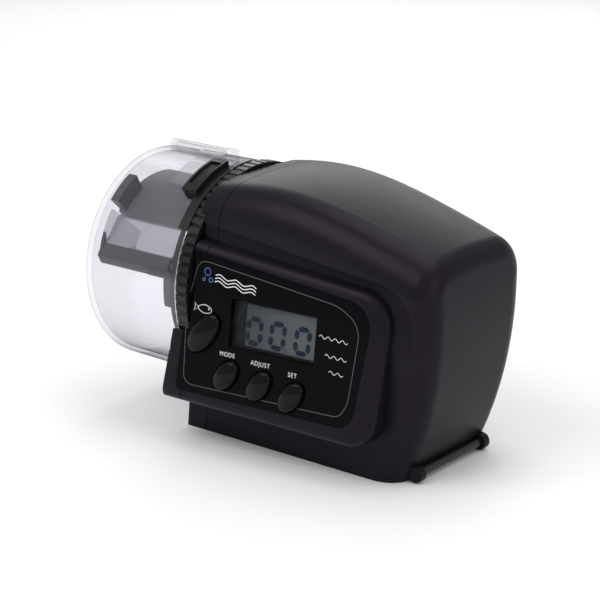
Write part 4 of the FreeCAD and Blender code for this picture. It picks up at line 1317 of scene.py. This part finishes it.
@dataclass
class Drum:
    """The clear drum with its scoop, knurled ring and outlet.

    The bead and the eyelet are set in from the cup's highest X, and the eyelet's angle is from Y to Z.
    """

    centre: Vector = field(init=False)
    mouth: float = field(init=False)
    mouth_radius: float = field(init=False)
    bead_radius: float = 0.25 * MM
    bead_inset: float = 0.7 * MM
    bead_sides: int = 12
    spin_steps: int = 96
    eyelet_angle: float = 127.0
    eyelet_inset: float = 2.6 * MM
    eyelet_lift: float = 0.6 * MM
    eyelet_radii: Point2 = (1.1 * MM, 0.4 * MM)

    def __post_init__(self) -> None:
        """Read the axis from the drum's joint, and the mouth from the cup's box."""
        low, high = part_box("drum_cup")
        self.centre = Vector((0, *joint("drum_spin")["pos_m"][1:]))
        self.mouth = high.x
        self.mouth_radius = (high.y - low.y) / 2

    def build(self) -> None:
        """Dress the drum and model its rim bead and its eyelet."""
        dress(DRUM_CLEAR, "drum_cup")
        dress(BLACK_RING, "drum_ring", "outlet_chute")
        dress(SCOOP_GREY, "drum_scoop")
        dress(SLIDE_CLEAR, "scoop_slide")
        dress(STEEL, "hub_screw")
        dress(SHAFT_STEEL, "output_shaft")
        self.rim_bead()
        self.eyelet()

    def rim_bead(self) -> None:
        """Model the fine bead round the drum's mouth, by spinning a round section about the axis."""
        Shop.clear()
        middle_of_mouth = self.centre + Vector((self.mouth - self.bead_inset, 0, 0))
        bpy.ops.mesh.primitive_circle_add(
            vertices=self.bead_sides, radius=self.bead_radius,
            location=middle_of_mouth + Vector((0, 0, self.mouth_radius)), rotation=(math.pi / 2, 0, 0))
        bead = Shop.named("drum_rim_bead")
        bpy.ops.object.mode_set(mode="EDIT")
        bpy.ops.mesh.select_all(action="SELECT")
        bpy.ops.mesh.spin(
            steps=self.spin_steps, angle=2 * math.pi, center=middle_of_mouth, axis=(1, 0, 0))
        bpy.ops.object.mode_set(mode="OBJECT")
        Shop.close(bead)
        bpy.ops.object.shade_smooth()
        Shop.settle(bead, RIM_CLEAR, "drum", "clear_plastic")

    def eyelet(self) -> None:
        """Model the small clear loop beside the outlet."""
        angle = math.radians(self.eyelet_angle)
        radius = self.mouth_radius + self.eyelet_lift
        at = self.centre + Vector((
            self.mouth - self.eyelet_inset, radius * math.cos(angle), radius * math.sin(angle)))
        major, minor = self.eyelet_radii
        Shop.clear()
        bpy.ops.mesh.primitive_torus_add(
            location=at, rotation=(angle - math.pi / 2, 0, 0), major_radius=major, minor_radius=minor,
            major_segments=32, minor_segments=10)
        loop = Shop.named("drum_eyelet")
        bpy.ops.object.shade_smooth()
        Shop.settle(loop, GATE_CLEAR, "drum", "clear_plastic")


@dataclass
class Gate:
    """The sliding dose gate with its grip tube and printed scale."""

    ticks: int = 6
    tick_width: float = 0.28 * MM
    tick_lengths: Point2 = (0.9 * MM, 1.5 * MM)
    line_width: float = 0.16 * MM
    line_share: float = 0.86
    line_offset: float = -0.8 * MM
    ink_lift: float = 0.01 * MM
    ink_thickness: float = 0.04 * MM

    def build(self) -> None:
        """Dress the gate and print its scale."""
        dress(SHUTTER, "dose_gate")
        dress(PAPER, "gate_scale")
        self.scale_marks()

    def scale_marks(self) -> None:
        """Print short and long ticks in turn across the paper strip, and a line along it."""
        low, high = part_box("gate_scale")
        centre = middle("gate_scale")
        span = high.x - low.x
        height = high.z + self.ink_lift
        marks = []
        for index in range(self.ticks):
            x = low.x + span * (index + 0.8) / (self.ticks + 0.6)
            at = Matrix.Translation(Vector((x, centre.y, height)))
            size = (self.tick_width, self.tick_lengths[index % 2], self.ink_thickness)
            marks.append(Shop.slab("tick", size, at))
        at = Matrix.Translation(Vector((centre.x, centre.y + self.line_offset, height)))
        size = (span * self.line_share, self.line_width, self.ink_thickness)
        marks.append(Shop.slab("scale_line", size, at))
        Shop.settle(Shop.join("scale_marks", marks), BLACK_INK, "gate", "scale_print")


class Works:
    """The motor, the wheels and the electronics inside the case."""

    def build(self) -> None:
        """Dress everything inside."""
        dress(GEAR_WHITE, "drive_gear", "second_idler", "first_idler")
        dress(BRASS, "motor_pinion", "shaft_bush")
        dress(SHAFT_STEEL, "motor_shaft", "idler_axles")
        dress(STEEL, "gearbox_screws", "board_screws")
        dress(CAN_STEEL, "motor")
        dress(PLATE_BLACK, "gearbox_plate")
        dress(BOARD, "circuit_board")
        dress(CHIP_BLACK, "controller_chip", "tact_switches")
        dress(NICKEL, "battery_springs", "battery_contacts", "home_magnet", "clock_crystal")
        dress(GATE_CLEAR, "reed_switch")
        for node in ("battery_cell_1", "battery_cell_2"):
            low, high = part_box(node)
            dress(CellJacket(f"{node}_film", (0.02, 0.03, 0.06), (0.50, 0.30, 0.14), low.x, high.x), node)


# ---------------------------------------------------------------- studio


@dataclass(frozen=True)
class SoftLight:
    """A large rectangular light aimed at the object."""

    name: str
    place: Colour
    width: float
    height: float
    power: float


@dataclass
class Studio:
    """A pale floor, soft lights and the camera."""

    aim: Vector = field(default_factory=lambda: Vector((-0.0207, 0.0, 0.0424)))
    camera_place: Vector = field(default_factory=lambda: Vector((0.4184, -0.5459, 0.2723)))
    azimuth: float = 38.5
    elevation: float = 18.0
    focal: float = 126.0
    sky: float = 0.55
    floor_size: float = 8.0
    lights: tuple[SoftLight, ...] = (
        SoftLight("key", (-0.25, -0.55, 0.75), 0.6, 0.5, 3.2),
        SoftLight("top", (0.05, 0.15, 0.8), 0.7, 0.5, 2.4),
        SoftLight("side", (0.75, -0.1, 0.35), 0.35, 0.5, 0.9),
        SoftLight("back", (-0.5, 0.7, 0.45), 0.7, 0.5, 1.7),
    )

    def build(self) -> None:
        """Set the world, the floor, the lights and the camera."""
        self.world()
        self.floor()
        for light in self.lights:
            self.lamp(light)
        self.camera()

    def world(self) -> None:
        """Fill the surroundings with even white light."""
        world = bpy.data.worlds.new("studio")
        bpy.context.scene.world = world
        world.use_nodes = True
        background = world.node_tree.nodes["Background"]
        background.inputs["Color"].default_value = (1.0, 1.0, 1.0, 1.0)
        background.inputs["Strength"].default_value = self.sky
        bpy.context.scene.view_settings.view_transform = "Standard"

    def floor(self) -> None:
        """Lay a plain pale floor under the object."""
        Shop.clear()
        bpy.ops.mesh.primitive_plane_add(size=self.floor_size, location=(0, 0, -0.02 * MM))
        floor = Shop.named("studio_floor")
        tree = Tree("studio_white")
        speckle = tree.noise(0.4, 2.0)
        floor.data.materials.append(tree.finish(tree.surface(
            Base_Color=tree.blend(speckle, (0.90, 0.90, 0.90), (0.94, 0.94, 0.94)), Roughness=0.9)))

    def lamp(self, light: SoftLight) -> None:
        """Hang one light and aim it at the object.

        Args:
            light: its place, size and power.
        """
        data = bpy.data.lights.new(light.name, "AREA")
        data.shape = "RECTANGLE"
        data.size = light.width
        data.size_y = light.height
        data.energy = light.power
        lamp = bpy.data.objects.new(light.name, data)
        lamp.location = light.place
        lamp.rotation_euler = (self.aim - lamp.location).to_track_quat("-Z", "Y").to_euler()
        bpy.context.scene.collection.objects.link(lamp)

    def camera(self) -> None:
        """Place the camera on the panel's side, towards the rear and a little above."""
        data = bpy.data.cameras.new("studio_camera")
        data.lens = self.focal
        data.sensor_width = 36.0
        data.clip_start = 0.01
        camera = bpy.data.objects.new("studio_camera", data)
        camera.location = self.camera_place
        camera.rotation_euler = (math.radians(90 - self.elevation), 0, math.radians(self.azimuth))
        bpy.context.scene.collection.objects.link(camera)
        bpy.context.scene.camera = camera


def main() -> None:
    """Build the feeder and the studio."""
    logging.basicConfig(level=logging.INFO, format="%(name)s %(message)s")
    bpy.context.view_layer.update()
    face = PanelFace()
    for assembly in (Case(), ControlPanel(face), Display(face), Drum(), Gate(), Works(), Studio()):
        assembly.build()
        log.info("%s done", type(assembly).__name__)


if __name__ == "__main__":
    main()
